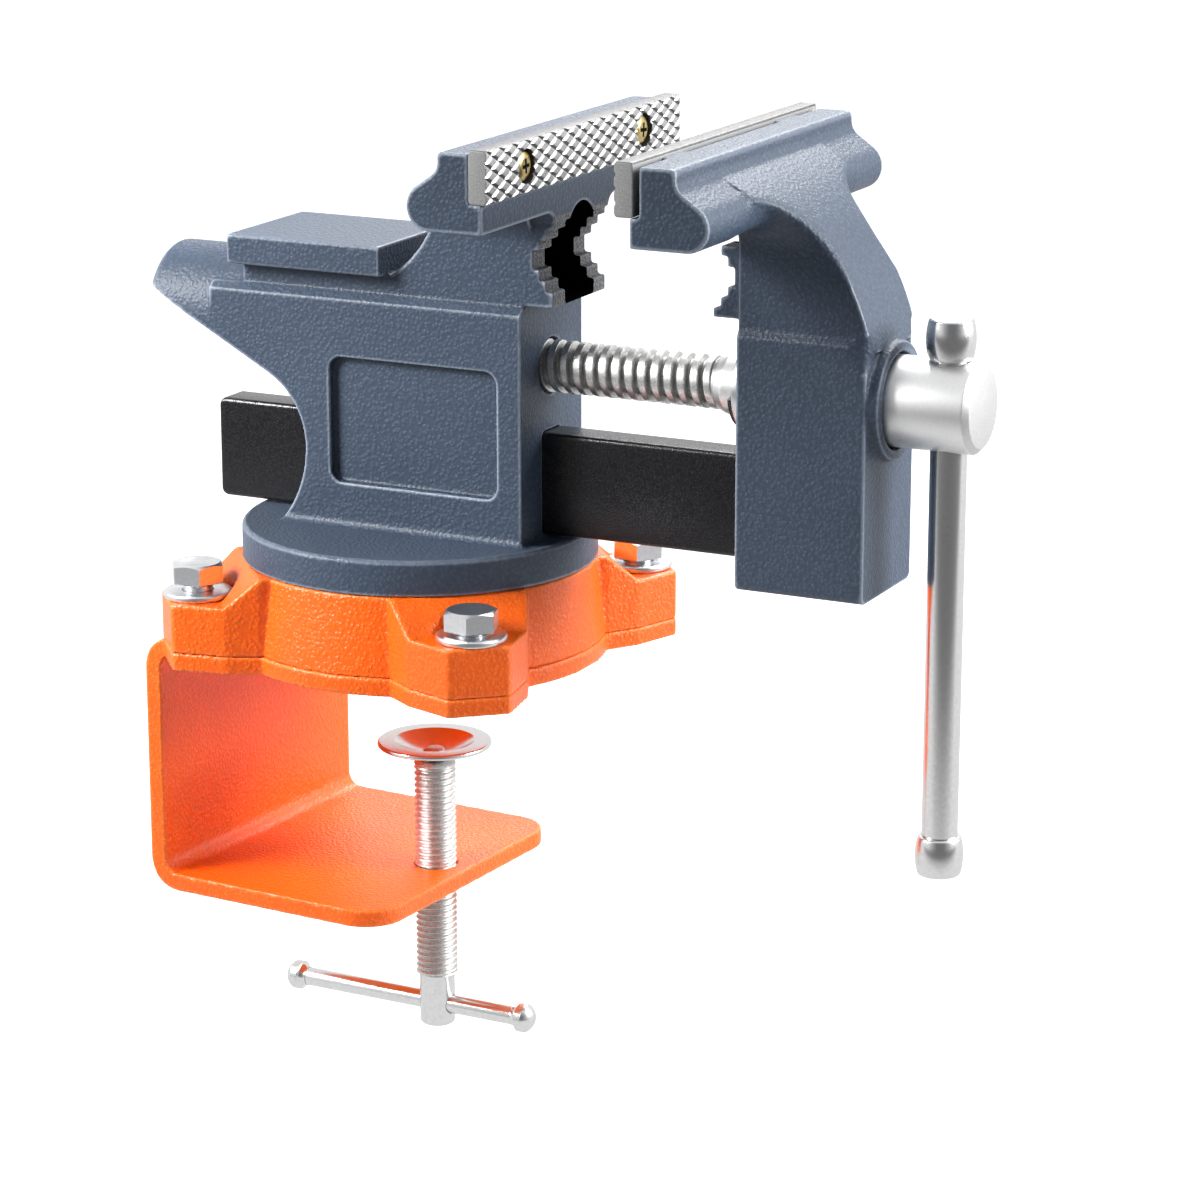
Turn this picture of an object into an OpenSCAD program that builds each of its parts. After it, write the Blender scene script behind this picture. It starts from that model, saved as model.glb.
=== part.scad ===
// Swivel bench vise with a clamp-on bracket.
// The origin is on the swivel axis, at the bracket's face that rests on the bench top.
// +X points along the main screw towards its handle and +Z is up. Lengths are millimetres.

/* [Jaws] */
// Width of the jaws and of their plates
jaw_width = 113; // [100:1:122]
// How far the jaw castings stop short of their plates at the far end
jaw_short = 2.2; // [0:0.1:4]
// Height of a jaw plate
plate_height = 13.7; // [12.4:0.1:14.2]
// Thickness of a jaw plate
plate_thick = 5.2; // [4.4:0.1:5.6]
// Distance between the jaw plates in the stored pose
jaw_opening = 34.8; // [2:0.1:58]
// Distance between the two screws of a plate
plate_screw_pitch = 68.6; // [56:0.2:84]
// Diameter of a plate screw's head
plate_screw_head = 7.4; // [6.6:0.1:8.4]
// Diameter of a plate screw's shank
plate_screw_d = 5; // [4:0.1:5.4]
// Distance from the swivel axis to the fixed plate's gripping face
fixed_face = 50.8; // [50:0.1:54]
// Height of the jaw plates' top edge over the main screw's axis
jaw_rise = 65.3; // [64:0.1:68]
// Slope of the jaw castings' backs, in degrees
jaw_slope = 34.6; // [30:0.2:38]

/* [Pipe jaws] */
// Height of the pipe jaws' centre over the main screw's axis
pipe_rise = 30.7; // [30:0.1:31.6]
// Depth of one step of the pipe jaws
pipe_step_depth = 1.95; // [1.6:0.05:2.1]
// Height of one step of the pipe jaws
pipe_step_height = 2.8; // [2.4:0.05:2.9]
// Width of the hollow between the two rows of steps
pipe_hollow = 16; // [12:0.2:18]

/* [Fixed body] */
// Width of the fixed body and of its horn
body_width = 36.4; // [35:0.2:40]
// Height of the main screw's axis over the swivel disc
screw_rise = 45.6; // [45:0.1:48]
// Distance from the swivel axis to the horn's end
horn_reach = 74.3; // [68:0.1:80]
// Length of the anvil's flat
anvil_length = 46.4; // [40:0.2:50]
// Width of the anvil's flat
anvil_width = 40.4; // [38:0.2:46]
// Thickness of the anvil's slab
anvil_thick = 8.1; // [6:0.1:9]
// Width of the neck under the fixed jaw
neck_width = 30.8; // [28:0.2:32]
// Depth of the cast panels in the body's sides
panel_depth = 2.5; // [1.5:0.1:3]

/* [Moving jaw] */
// Width of the block that carries the screw and the bar
block_width = 32.8; // [32:0.2:35]
// Length of the block along the screw
block_length = 35.65; // [33:0.05:38]
// Width of the arm between the block and the jaw
arm_width = 30.4; // [28:0.2:32]
// Depth of the block below the main screw's axis
block_depth = 50.5; // [49.4:0.1:52]
// Radius of the sweep between the arm and the jaw
arm_sweep = 16; // [12:0.2:18]

/* [Main screw] */
// Outside diameter of the screw's thread
thread_d = 14; // [12:0.5:15]
// Diameter of the screw's head
head_d = 23.6; // [21:0.2:25]
// Length of the screw's head
head_length = 30.9; // [28:0.1:36]
// Side of the square main nut
nut_size = 22; // [20:0.2:23]
// Length of the main nut
nut_length = 19; // [16:0.5:24]
// Diameter of the tommy bar
tommy_d = 9.5; // [8:0.1:10.5]
// Length of the tommy bar with its knobs
tommy_length = 147; // [120:1:160]
// Diameter of a tommy bar knob
knob_d = 12.8; // [12:0.1:15]
// Length of a tommy bar knob
knob_length = 10.6; // [9:0.1:13]

/* [Slide bar] */
// Width of the slide bar
bar_width = 10.8; // [9:0.1:12]
// Height of the slide bar
bar_height = 27.6; // [24:0.2:28.4]
// Length of the slide bar
bar_length = 187.5; // [176:0.5:200]

/* [Swivel base] */
// Diameter of the swivel disc
disc_d = 96.6; // [94:0.2:99]
// Thickness of the swivel disc
disc_thick = 9.7; // [8:0.1:12]
// Height of the base casting
base_height = 21.4; // [19.4:0.2:26]
// Height of the base's four bolt lands
land_height = 13.3; // [11:0.1:13.6]
// Diameter of the circle through the four bolts
bolt_circle = 122.6; // [120:0.2:128]
// Diameter of the base bolts
bolt_d = 8; // [6:0.5:8.5]
// Width across the flats of a base bolt's head
bolt_flats = 13; // [12:0.5:14]
// Diameter of a washer
washer_d = 18.7; // [17:0.1:20]
// Diameter of the spigot that the vise turns on
spigot_d = 31.8; // [28:0.2:36]

/* [Bench clamp] */
// Thickness of the bracket's plate
clamp_thick = 4.9; // [4:0.1:6]
// Width of the bracket
clamp_width = 91.4; // [84:0.2:96]
// How far the bracket sits off the middle of the base
clamp_shift = 1.2; // [-2:0.1:2]
// Height of the bracket's throat
clamp_throat = 62.5; // [56:0.5:80]
// Distance from the swivel axis to the inside of the bracket's back
clamp_back = 56.2; // [54:0.1:60]
// Reach of the lower leg past the swivel axis
clamp_reach = 14.2; // [14:0.1:30]
// Turn of the bracket and the base against the vise, in degrees
clamp_turn = -4.2; // [-20:0.1:20]
// Diameter of the clamp screw
clamp_screw_d = 11.6; // [10:0.1:12]
// Length of the clamp screw's thread
clamp_thread_length = 62.1; // [58:0.1:70]
// Distance from the clamp screw's axis to the swivel axis
clamp_screw_offset = 3.7; // [0:0.1:4]
// Room between the bench face and the clamp pad in the stored pose
pad_room = 26.7; // [4:0.1:28]
// Diameter of the clamp pad
pad_d = 31.5; // [26:0.1:34]
// Diameter of the T-bar
t_bar_d = 5.2; // [4.4:0.1:5.8]
// Length of the T-bar with its knobs
t_bar_length = 79.8; // [70:0.1:90]
// Distance that the stored T-bar is pushed off its middle
t_bar_shift = -9; // [-12:0.1:12]

/* [Hidden] */
$fn = 96;

// Clearances: a turning shaft, a sliding fit, a screw in its tapped hole, a seated end
run_gap = 0.08;
slide_gap = 0.1;
tap_gap = 0.05;
seat_gap = 0.1;

// Heights of the stack from the bench face upwards
z_base = clamp_thick + base_height;
z_disc = z_base + seat_gap;
z_body = z_disc + disc_thick;
z_screw = z_body + screw_rise;
z_top = z_screw + jaw_rise;
z_jaw = z_top - 1;
z_plate = z_top - plate_height;
z_under = z_jaw - 20.35;
z_ledge = z_screw + 16.1;
z_deck = z_screw + 17.9;
z_pipe = z_screw + pipe_rise;
z_land = clamp_thick + land_height;
z_anvil = z_screw + 31.55;

// Jaw castings: front faces, seats of the plates and the round back
cast_face = fixed_face - 1.6;
fixed_seat = plate_thick - 1.6;
moving_face = fixed_face + jaw_opening;
moving_cast = moving_face + plate_thick - 1;
pad_gap = 1.6;
moving_seat = 1 + pad_gap;
back_r = 6.15;
back_depth = 15.1;
back_z = z_under + back_r;
land_depth = 12.4;

// Plate screws: their height and the recess that takes the head
z_plate_screw = z_plate + plate_height / 2;
recess_d = plate_screw_head + 1;
recess_depth = 2.6;
head_thick = 2.2;
plate_screw_reach = 12;

// Fixed body: ends, horn and nut pocket
body_end = fixed_face - 10.8;
horn_r = body_width / 2;
horn_z = z_screw + 24.8 - horn_r;
anvil_end = -0.6;
panel_span = [-17.3, 32.8];
panel_rise = [-33.7, 0.6];
nut_end = body_end - 3;
pocket = nut_size + 2 * slide_gap;
pin_d = 4;
nut_pin_x = nut_end - nut_length / 2;
nut_pin_z = z_screw + 6;

// Slide bar
z_bar = z_body + 0.8;
bar_corner = 1.2;
bar_end_corner = 1.8;

// Moving jaw: block, arm and bores
block_x = moving_face + 14.95;
block_end = block_x + block_length;
boss_height = 2.8;
boss_r = block_width / 2 - 0.2;
z_block = z_screw - block_depth;
bar_end = block_end - 8.3;
set_screw_d = 6;
set_screw_inset = 8;
set_screw_pitch = 12;
arm_r = 64.8;
arm_x = block_end - 62.4;
arm_z = z_screw + 1.2;
sweep_z = z_under + 8.85 - arm_sweep;

// Pipe jaws: the flat at the bottom of the steps, the lips and the hollow
neck_sweep = 8.5;
lip_sweep = 4;
pipe_flat = 2.5;
pipe_depth = 6.8;
lip_tip = block_x - 7.4;
lip_width = 28.4;
lip_height = 18.5;
lip_drop = 10.6;
hollow_rise = 21.4;
hollow_reach = 19;

// Main screw along X, with the clip and the washer against the block
journal_d = thread_d + 2;
screw_reach = 95.6;
screw_start = moving_face - screw_reach;
screw_closed = screw_start - jaw_opening;
cone_x = block_x - 10.55;
head_x = block_end - 5.2 + slide_gap;
screw_end = head_x + head_length;
tommy_x = screw_end - 9.6;
washer_thick = 3.3;
washer_x = block_x - 0.1 - washer_thick;
clip_thick = 1.5;
clip_x = washer_x - clip_thick - 0.05;
clip_d = thread_d + 8;

// Tommy bar, hanging with its upper knob on the screw's head
knob_z = z_screw + head_d / 2 + seat_gap;
tommy_top = knob_z + knob_length;
tommy_bottom = tommy_top - tommy_length;
knob_end_d = knob_d - 1.6;
stub_d = tommy_d - 2.5;
stub_length = knob_length - 2;

// Swivel base, its retainer and its bolts
base_top_r = disc_d / 2 - 0.1;
base_foot_r = base_top_r + 2.4;
bolt_r = bolt_circle / 2;
lobe_end = bolt_r + 8.7;
seat_r = washer_d / 2 + 1.25;
washer_thick_m8 = 1.8;
bolt_head = 5.4;
// Each bolt is screwed in by hand: how proud it stands of its washer, and how it is turned
bolt_lifts = [1, 1, 2.2, 1];
bolt_turns = [12, 48, 25, -23];
web_z = clamp_thick + 7.3;
retainer_thick = 5.9;
retainer_d = spigot_d + 24.2;
centre_d = 10;
centre_head_d = 20;
centre_head = 5;
centre_socket = 6.9;

// Bench clamp
bend_in = 4;
top_edge = 45;
bend_out = bend_in + clamp_thick;
leg_z = -clamp_throat - clamp_thick;
pad_height = 5.3;
pad_wall = 1.4;
pad_rim = 4.6;
pad_floor = -pad_room - pad_height;
neck_d = 5;
rivet_d = 6.5;
clamp_top = pad_floor - seat_gap;
thread_bottom = clamp_top - clamp_thread_length;
clamp_tail_d = clamp_screw_d - 1.7;
clamp_tail = 15.3;
t_bar_drop = 9.3;
t_bar_z = thread_bottom - t_bar_drop;
t_bar_turn = -1.6;
t_knob_d = 8.2;
t_knob_length = 6.7;
t_knob_neck = 2.1;
t_knob_dome = 4.6;
t_stub_d = t_bar_d - 1.6;
t_stub_length = t_knob_length - 1.5;

// Colours as the object shows them
enamel = [0.36, 0.42, 0.47];
orange = [0.85, 0.25, 0.06];
steel = [0.72, 0.72, 0.72];
zinc = [0.82, 0.83, 0.84];
black = [0.09, 0.09, 0.1];
brass = [0.78, 0.62, 0.3];

// Points of an arc round [cx, cy] from angle a to angle b
function arc(cx, cy, r, a, b, n = 12) = [for (i = [0 : n]) [
    cx + r * cos(a + (b - a) * i / n),
    cy + r * sin(a + (b - a) * i / n)]];

// Extrudes a YZ outline along X
module along_x(x, length) {
    translate([x, 0, 0])
        rotate([90, 0, 90])
            linear_extrude(length)
                children();
}

// Extrudes an XZ outline to both sides of the XZ plane
module along_y(width) {
    rotate([90, 0, 0])
        linear_extrude(width, center = true)
            children();
}

// A cylinder along X on the main screw's axis
module on_screw(d, x, length, d2 = 0) {
    translate([x, 0, z_screw])
        rotate([0, 90, 0])
            cylinder(d1 = d, d2 = d2 > 0 ? d2 : d, h = length);
}

// A rectangle with round corners, given by its low and high corners
module rounded_box(low, high, r) {
    translate([low[0] + r, low[1]])
        square([high[0] - low[0] - 2 * r, high[1] - low[1]]);
    translate([low[0], low[1] + r])
        square([high[0] - low[0], high[1] - low[1] - 2 * r]);
    for (x = [low[0] + r, high[0] - r], y = [low[1] + r, high[1] - r])
        translate([x, y])
            circle(r);
}

module both_sides() {
    children();
    mirror([0, 1, 0])
        children();
}

// Turns what is clamped to the bench to its angle under the vise
module turned() {
    rotate([0, 0, clamp_turn])
        children();
}

// Jaw casting in section: front face at 0, plate seat cut back, sloping back that ends in a round bead
module jaw_profile(seat) {
    normal = 90 - jaw_slope;
    slope_x = back_depth + back_r * cos(normal);
    slope_z = back_z + back_r * sin(normal);
    cove_r = 4;
    cove_x = land_depth + cove_r;
    along = slope_x * cos(normal) + slope_z * sin(normal) + cove_r;
    cove_z = (along - cove_x * cos(normal)) / sin(normal);
    polygon(concat(
        [[0, z_under], [0, z_plate], [seat, z_plate], [seat, z_jaw]],
        arc(land_depth - 1.4, z_jaw - 1.4, 1.4, 90, 0, 6),
        arc(cove_x, cove_z, cove_r, 180, 180 + normal, 8),
        arc(back_depth, back_z, back_r, normal, -90, 24)));
}

// Steps of a pipe jaw as a cut towards +X: each step out from the deepest one is taller
module pipe_steps(width) {
    along_y(width)
        for (i = [0 : 2])
            translate([i * pipe_step_depth, z_pipe - pipe_flat - i * pipe_step_height])
                square([30, 2 * (pipe_flat + i * pipe_step_height)]);
}

// Hollow behind the steps, with an arched roof
module pipe_hollow_cut(x, length) {
    along_x(x, length) {
        translate([-pipe_hollow / 2, z_pipe - hollow_rise / 2])
            square([pipe_hollow, hollow_rise - pipe_hollow / 2]);
        translate([0, z_pipe + hollow_rise / 2 - pipe_hollow / 2])
            circle(d = pipe_hollow);
    }
}

// Tapped holes of a plate's screws, from the seat inwards
module plate_screw_holes(x, length) {
    for (side = [-1, 1])
        translate([x, side * plate_screw_pitch / 2, z_plate_screw])
            rotate([0, 90, 0])
                cylinder(d = plate_screw_d + 2 * tap_gap, h = length, $fn = 48);
}

// A side view carried along a jaw, from its plate's near end to just short of the far end
module along_jaw() {
    translate([0, -jaw_short / 2, 0])
        along_y(jaw_width - jaw_short)
            children();
}

// Side view of the fixed body: a straight slope under the horn runs into a deep round cove
module body_side() {
    cove_r = 22;
    foot_r = 32;
    sunk = z_body - 0.4;
    cove_x = -25.1;
    cove_z = z_screw - 24.9;
    tilt = 28.6;
    touch = [cove_x - cove_r + cove_r * sin(tilt), cove_z + cove_r * cos(tilt)];
    foot_angle = asin((cove_z - z_body) / foot_r);
    polygon(concat(
        [[-horn_reach, z_anvil], [-horn_reach, touch[1] + (touch[0] + horn_reach) * tan(tilt)]],
        arc(cove_x - cove_r, cove_z, cove_r, 90 - tilt, 0, 16),
        arc(cove_x - foot_r, cove_z, foot_r, 0, -foot_angle, 12),
        [[cove_x - foot_r * (1 - cos(foot_angle)), sunk], [body_end + 2, sunk]],
        arc(body_end + 2, z_body + 2, 2, 270, 180, 6),
        [[body_end, z_anvil]]));
}

// Cross-section of the fixed body: flared foot, upright sides and a chamfered deck
module body_section() {
    half = body_width / 2;
    flare = arc(half + 2, z_body + 2, 2, 270, 180, 6);
    side = concat([[half + 2, z_body - 0.4]], flare, [[half, z_ledge], [half - 2.3, z_deck]]);
    polygon(concat(side, [for (i = [len(side) - 1 : -1 : 0]) [-side[i][0], side[i][1]]]));
}

// Half-round horn with a softened end
module horn() {
    edge = 1.8;
    length = horn_reach - 30;
    translate([-horn_reach, 0, horn_z])
        rotate([0, 90, 0])
            rotate_extrude() {
                square([horn_r - edge, length]);
                translate([0, edge])
                    square([horn_r, length - edge]);
                translate([horn_r - edge, edge])
                    circle(edge, $fn = 32);
            }
}

// Neck under the fixed jaw in side view, with the pipe jaw's box in front
module neck_side() {
    cove = [-16, z_screw + 49.8];
    cove_r = 31;
    lean = 29;
    back_x = cast_face - back_depth - back_r * sin(jaw_slope);
    back_top = back_z + back_r * cos(jaw_slope);
    start = [cove[0] + cove_r * cos(lean), cove[1] - cove_r * sin(lean)];
    rise = back_top - start[1] - (back_x - start[0]) * tan(jaw_slope);
    run = rise / (cos(lean) - sin(lean) * tan(jaw_slope));
    polygon(concat(
        [[body_end, z_ledge - 2], [-4, z_ledge - 2]],
        arc(cove[0], cove[1], cove_r, -66, -lean, 10),
        [[start[0] + run * sin(lean), start[1] + run * cos(lean)], [back_x, back_top],
        [cast_face - 5, z_plate + 1], [cast_face, z_under + 1], [cast_face, z_deck + 0.5],
        [body_end, z_deck + 0.5]]));
}

// Outline across a neck of the given width that sweeps out to the jaw over it
module swept_outline(width, sweep, foot, spring, top) {
    half = width / 2;
    difference() {
        translate([-half - sweep, foot])
            square([2 * (half + sweep), top - foot]);
        for (side = [-1, 1]) {
            translate([side * (half + sweep), spring])
                circle(sweep);
            translate([side * (half + sweep) - sweep, foot - 1])
                square([2 * sweep, spring - foot + 1]);
        }
    }
}

module fixed_jaw_solid() {
    intersection() {
        along_y(body_width + 4)
            body_side();
        along_x(-horn_reach + 20, body_end + horn_reach)
            body_section();
    }
    intersection() {
        along_y(body_width)
            body_side();
        horn();
    }
    // Anvil slab on its narrower riser
    along_x(anvil_end - anvil_length, anvil_length)
        rounded_box([-anvil_width / 2, z_anvil - anvil_thick], [anvil_width / 2, z_anvil], 0.9);
    along_x(anvil_end - anvil_length + 2, anvil_length - 2.5)
        translate([-neck_width / 2, z_ledge])
            square([neck_width, z_anvil - anvil_thick + 1 - z_ledge]);
    // The neck sweeps out broadly to the jaw, and tightly over the pipe jaw
    intersection() {
        along_y(neck_width + 2 * neck_sweep + 2)
            neck_side();
        union() {
            along_x(-20, cast_face - pipe_depth + 20)
                swept_outline(neck_width, neck_sweep, z_ledge - 3, z_under - neck_sweep, z_jaw - 7);
            along_x(-20, cast_face + 20)
                swept_outline(neck_width, lip_sweep, z_ledge - 3, z_under - lip_sweep, z_jaw - 7);
        }
    }
    translate([cast_face, 0, 0])
        mirror([1, 0, 0])
            along_jaw()
                jaw_profile(fixed_seat);
    // Swivel disc with its spigot
    translate([0, 0, z_disc])
        cylinder(d = disc_d, h = disc_thick - 0.8);
    translate([0, 0, z_body - 0.8])
        cylinder(d1 = disc_d, d2 = disc_d - 1.6, h = 0.8);
    translate([0, 0, web_z - seat_gap])
        cylinder(d = spigot_d, h = z_disc - web_z + 1);
}

// Fixed jaw casting: body, horn, anvil, neck, jaw, pipe jaw and swivel disc in one piece
module fixed_jaw_body() {
    color(enamel)
        difference() {
            fixed_jaw_solid();
            // Slot of the slide bar
            along_x(-60, 120)
                rounded_box([-bar_width / 2 - slide_gap, z_bar - slide_gap],
                    [bar_width / 2 + slide_gap, z_bar + bar_height + slide_gap], bar_corner);
            // Pocket of the nut, open at the back, and the screw's way out at the front
            along_x(screw_closed - 2.2, nut_end - screw_closed + 2.2)
                translate([-pocket / 2, z_screw - pocket / 2])
                    square(pocket);
            on_screw(thread_d + 1.2, nut_end - 1, 6);
            translate([nut_pin_x, nut_size / 2 - 1, nut_pin_z])
                rotate([-90, 0, 0])
                    cylinder(d = pin_d + 2 * tap_gap, h = body_width, $fn = 48);
            // Stepped pipe jaw with its hollow
            translate([cast_face - pipe_depth, 0, 0])
                pipe_steps(neck_width + 2);
            translate([cast_face - pipe_depth + 3 * pipe_step_depth, -neck_width, z_deck - 1])
                cube([20, 2 * neck_width, z_pipe + 10.1 - z_deck + 1]);
            pipe_hollow_cut(cast_face - 26, 40);
            plate_screw_holes(cast_face - fixed_seat - plate_screw_reach + plate_thick, 40);
            // Cast panels in the sides
            both_sides()
                translate([0, -body_width / 2 - 5 + panel_depth, 0])
                    along_y(10)
                        rounded_box([panel_span[0], z_screw + panel_rise[0]],
                            [panel_span[1], z_screw + panel_rise[1]], 3.5);
            // Tapped hole of the swivel's centre screw
            translate([0, 0, web_z - 1])
                cylinder(d = centre_d + 2 * tap_gap, h = z_body - 2 - web_z, $fn = 48);
        }
}

// A jaw plate with its gripping face at the origin's X and its back towards +X
module jaw_plate() {
    difference() {
        translate([0, -jaw_width / 2, z_plate])
            cube([plate_thick, jaw_width, plate_height]);
        for (side = [-1, 1])
            translate([0, side * plate_screw_pitch / 2, z_plate_screw])
                rotate([0, 90, 0]) {
                    translate([0, 0, -1])
                        cylinder(d = recess_d, h = recess_depth + 1, $fn = 48);
                    translate([0, 0, -1])
                        cylinder(d = plate_screw_d + 0.3, h = plate_thick + 2, $fn = 48);
                }
    }
}

// The two screws of a plate, heads towards -X, seen from the gripping face
module plate_screws() {
    for (side = [-1, 1])
        translate([recess_depth, side * plate_screw_pitch / 2, z_plate_screw])
            rotate([0, 90, 0])
                difference() {
                    union() {
                        translate([0, 0, -head_thick])
                            cylinder(d1 = plate_screw_head - 1, d2 = plate_screw_head, h = 0.7, $fn = 48);
                        translate([0, 0, -head_thick + 0.7])
                            cylinder(d = plate_screw_head, h = head_thick - 0.7, $fn = 48);
                        cylinder(d = plate_screw_d, h = plate_screw_reach - recess_depth - 1, $fn = 48);
                    }
                    for (turn = [0, 90])
                        rotate([0, 0, turn + 30])
                            translate([-2.2, -0.55, -head_thick - 1])
                                cube([4.4, 1.1, 2.2]);
                }
}

module fixed_jaw_plate() {
    color(steel)
        translate([fixed_face, 0, 0])
            mirror([1, 0, 0])
                jaw_plate();
}

module fixed_plate_screws() {
    color(brass)
        translate([fixed_face, 0, 0])
            mirror([1, 0, 0])
                plate_screws();
}

module moving_jaw_plate() {
    color(steel)
        translate([moving_face, 0, 0])
            jaw_plate();
}

module moving_plate_screws() {
    color(brass)
        translate([moving_face, 0, 0])
            plate_screws();
}

// Square nut of the main screw
module main_nut() {
    color(steel)
        difference() {
            translate([nut_end - nut_length, -nut_size / 2, z_screw - nut_size / 2])
                cube([nut_length, nut_size, nut_size]);
            on_screw(thread_d + 2 * run_gap, nut_end - nut_length - 1, nut_length + 2);
            translate([nut_pin_x, thread_d / 2 + 0.2, nut_pin_z])
                rotate([-90, 0, 0])
                    cylinder(d = pin_d + 2 * tap_gap, h = nut_size, $fn = 48);
        }
}

// Pin that holds the nut, driven in from the far side of the body
module nut_pin() {
    color(steel)
        translate([nut_pin_x, thread_d / 2 + 0.3, nut_pin_z])
            rotate([-90, 0, 0])
                cylinder(d = pin_d, h = body_width / 2 - thread_d / 2 - 0.8, $fn = 48);
}

// Arm of the moving jaw in side view: flat inside, one long bow outside
module arm_side() {
    intersection() {
        translate([arm_x, arm_z])
            circle(arm_r, $fn = 180);
        translate([block_x, z_ledge - 2])
            square([80, 80]);
    }
}

// Cross-section of the block, with a chamfered deck
module block_section() {
    half = block_width / 2;
    polygon(concat(
        arc(half - 2, z_block + 2, 2, -90, 0, 6),
        [[half, z_ledge], [arm_width / 2, z_deck], [-arm_width / 2, z_deck], [-half, z_ledge]],
        arc(2 - half, z_block + 2, 2, 180, 270, 6)));
}

module moving_jaw_solid() {
    along_x(block_x, block_length)
        block_section();
    on_screw(2 * boss_r, block_end - 1, boss_height + 1, 2 * boss_r - 2);
    intersection() {
        along_y(arm_width + 4 * arm_sweep)
            arm_side();
        along_x(block_x - 1, 60)
            swept_outline(arm_width, arm_sweep, z_ledge - 3, sweep_z, z_jaw - 3);
    }
    translate([moving_cast, 0, 0])
        along_jaw()
            jaw_profile(moving_seat);
    // Round pads that the plate stands on
    for (side = [-1, 1])
        translate([moving_face + plate_thick, side * plate_screw_pitch / 2, z_plate_screw])
            intersection() {
                rotate([0, 90, 0])
                    cylinder(d = 16, h = pad_gap + 1);
                translate([-1, -20, z_plate - z_plate_screw])
                    cube([20, 40, z_jaw - z_plate]);
            }
    // Lips of the pipe jaw
    translate([lip_tip, -lip_width / 2, z_pipe - lip_drop])
        cube([block_x - lip_tip + 1, lip_width, lip_height]);
}

// Moving jaw casting: block, bowed arm, jaw, pipe jaw and the raised ring round the screw's head
module moving_jaw_body() {
    color(enamel)
        difference() {
            moving_jaw_solid();
            translate([lip_tip + 3 * pipe_step_depth, 0, 0])
                mirror([1, 0, 0])
                    pipe_steps(lip_width + 2);
            pipe_hollow_cut(lip_tip - 5, hollow_reach + 5);
            on_screw(journal_d + 2 * run_gap, block_x - 1, block_length + 2);
            on_screw(head_d + 1.6, block_end - 5.2, 20);
            // Pocket of the slide bar
            along_x(block_x - 1, bar_end + slide_gap - block_x + 1)
                rounded_box([-bar_width / 2 - tap_gap, z_bar - tap_gap],
                    [bar_width / 2 + tap_gap, z_bar + bar_height + tap_gap], bar_corner);
            for (i = [0, 1])
                translate([block_x + set_screw_inset + i * set_screw_pitch, 0, z_block - 1])
                    cylinder(d = set_screw_d + 2 * tap_gap, h = z_bar - z_block + 2, $fn = 48);
            plate_screw_holes(moving_face + plate_thick - 1, plate_screw_reach - plate_thick + 1);
        }
}

// Flat bar that guides the moving jaw
module slide_bar() {
    color(black)
        intersection() {
            along_x(bar_end - bar_length, bar_length)
                rounded_box([-bar_width / 2, z_bar], [bar_width / 2, z_bar + bar_height], bar_corner);
            along_y(2 * bar_width)
                rounded_box([bar_end - bar_length, z_bar], [bar_end, z_bar + bar_height], bar_end_corner);
        }
}

// Set screws under the block that hold the bar
module bar_set_screws() {
    color(black)
        for (i = [0, 1])
            translate([block_x + set_screw_inset + i * set_screw_pitch, 0, z_block + 0.3])
                difference() {
                    cylinder(d = set_screw_d, h = z_bar - z_block - 0.3 - tap_gap, $fn = 48);
                    translate([0, 0, -1])
                        cylinder(d = 3.4, h = 3.5, $fn = 6);
                }
}

// Head of the main screw: bevelled at both ends, with a slightly domed face
module screw_head() {
    dome_r = 3.6 * head_d;
    translate([head_x, 0, z_screw])
        rotate([0, 90, 0])
            rotate_extrude()
                intersection() {
                    polygon([[0, 0], [head_d / 2 - 0.5, 0], [head_d / 2, 0.5], [head_d / 2, head_length - 2],
                        [head_d / 2 - 1.8, head_length], [0, head_length]]);
                    translate([0, head_length - dome_r])
                        circle(dome_r, $fn = 360);
                }
}

// Main screw: thread, journal with the clip's groove, and the drilled head
module main_screw() {
    color(steel)
        difference() {
            union() {
                on_screw(thread_d - 3, screw_start, 1.5, thread_d);
                on_screw(thread_d, screw_start + 1.5, cone_x - screw_start - 1.5);
                on_screw(thread_d, cone_x, 2, journal_d);
                on_screw(journal_d, cone_x + 2, head_x - cone_x - 1);
                screw_head();
            }
            difference() {
                on_screw(journal_d + 2, clip_x - 0.05, clip_thick + 0.1);
                on_screw(thread_d, clip_x - 1, clip_thick + 2);
            }
            translate([tommy_x, 0, z_screw - head_d])
                cylinder(d = tommy_d + 0.2, h = 2 * head_d);
        }
}

// Open ring in the screw's groove
module retaining_clip() {
    color(black)
        difference() {
            on_screw(clip_d, clip_x, clip_thick);
            on_screw(thread_d + 2 * tap_gap, clip_x - 1, clip_thick + 2);
            translate([clip_x - 1, -4, z_screw])
                cube([clip_thick + 2, 8, clip_d]);
        }
}

// Washer between the ring and the block
module thrust_washer() {
    color(zinc)
        difference() {
            on_screw(journal_d + 8, washer_x, washer_thick);
            on_screw(journal_d + 2 * run_gap, washer_x - 1, washer_thick + 2);
        }
}

// Rod with turned-down ends that carry the knobs
module stub_rod(d, stub, stub_len, z0, z1) {
    translate([0, 0, z0])
        cylinder(d = d, h = z1 - z0);
    translate([0, 0, z0 - stub_len + 0.2])
        cylinder(d = stub, h = z1 - z0 + 2 * stub_len - 0.4);
}

// Barrel knob, widest at half its length, with a blind bore and its open end at the origin
module barrel_knob(d, end_d, length, bore, depth) {
    edge = 0.6;
    sag = (d - end_d) / 2;
    bow_r = (length * length / 4 + sag * sag) / (2 * sag);
    side = d / 2 + 1;
    bevel = side - end_d / 2 + edge;
    rotate_extrude()
        difference() {
            intersection() {
                translate([d / 2 - bow_r, length / 2])
                    circle(bow_r, $fn = 180);
                polygon([[0, 0], [side - bevel, 0], [side, bevel], [side, length - bevel],
                    [side - bevel, length], [0, length]]);
            }
            translate([0, -1])
                square([bore / 2, depth + 1]);
        }
}

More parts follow.
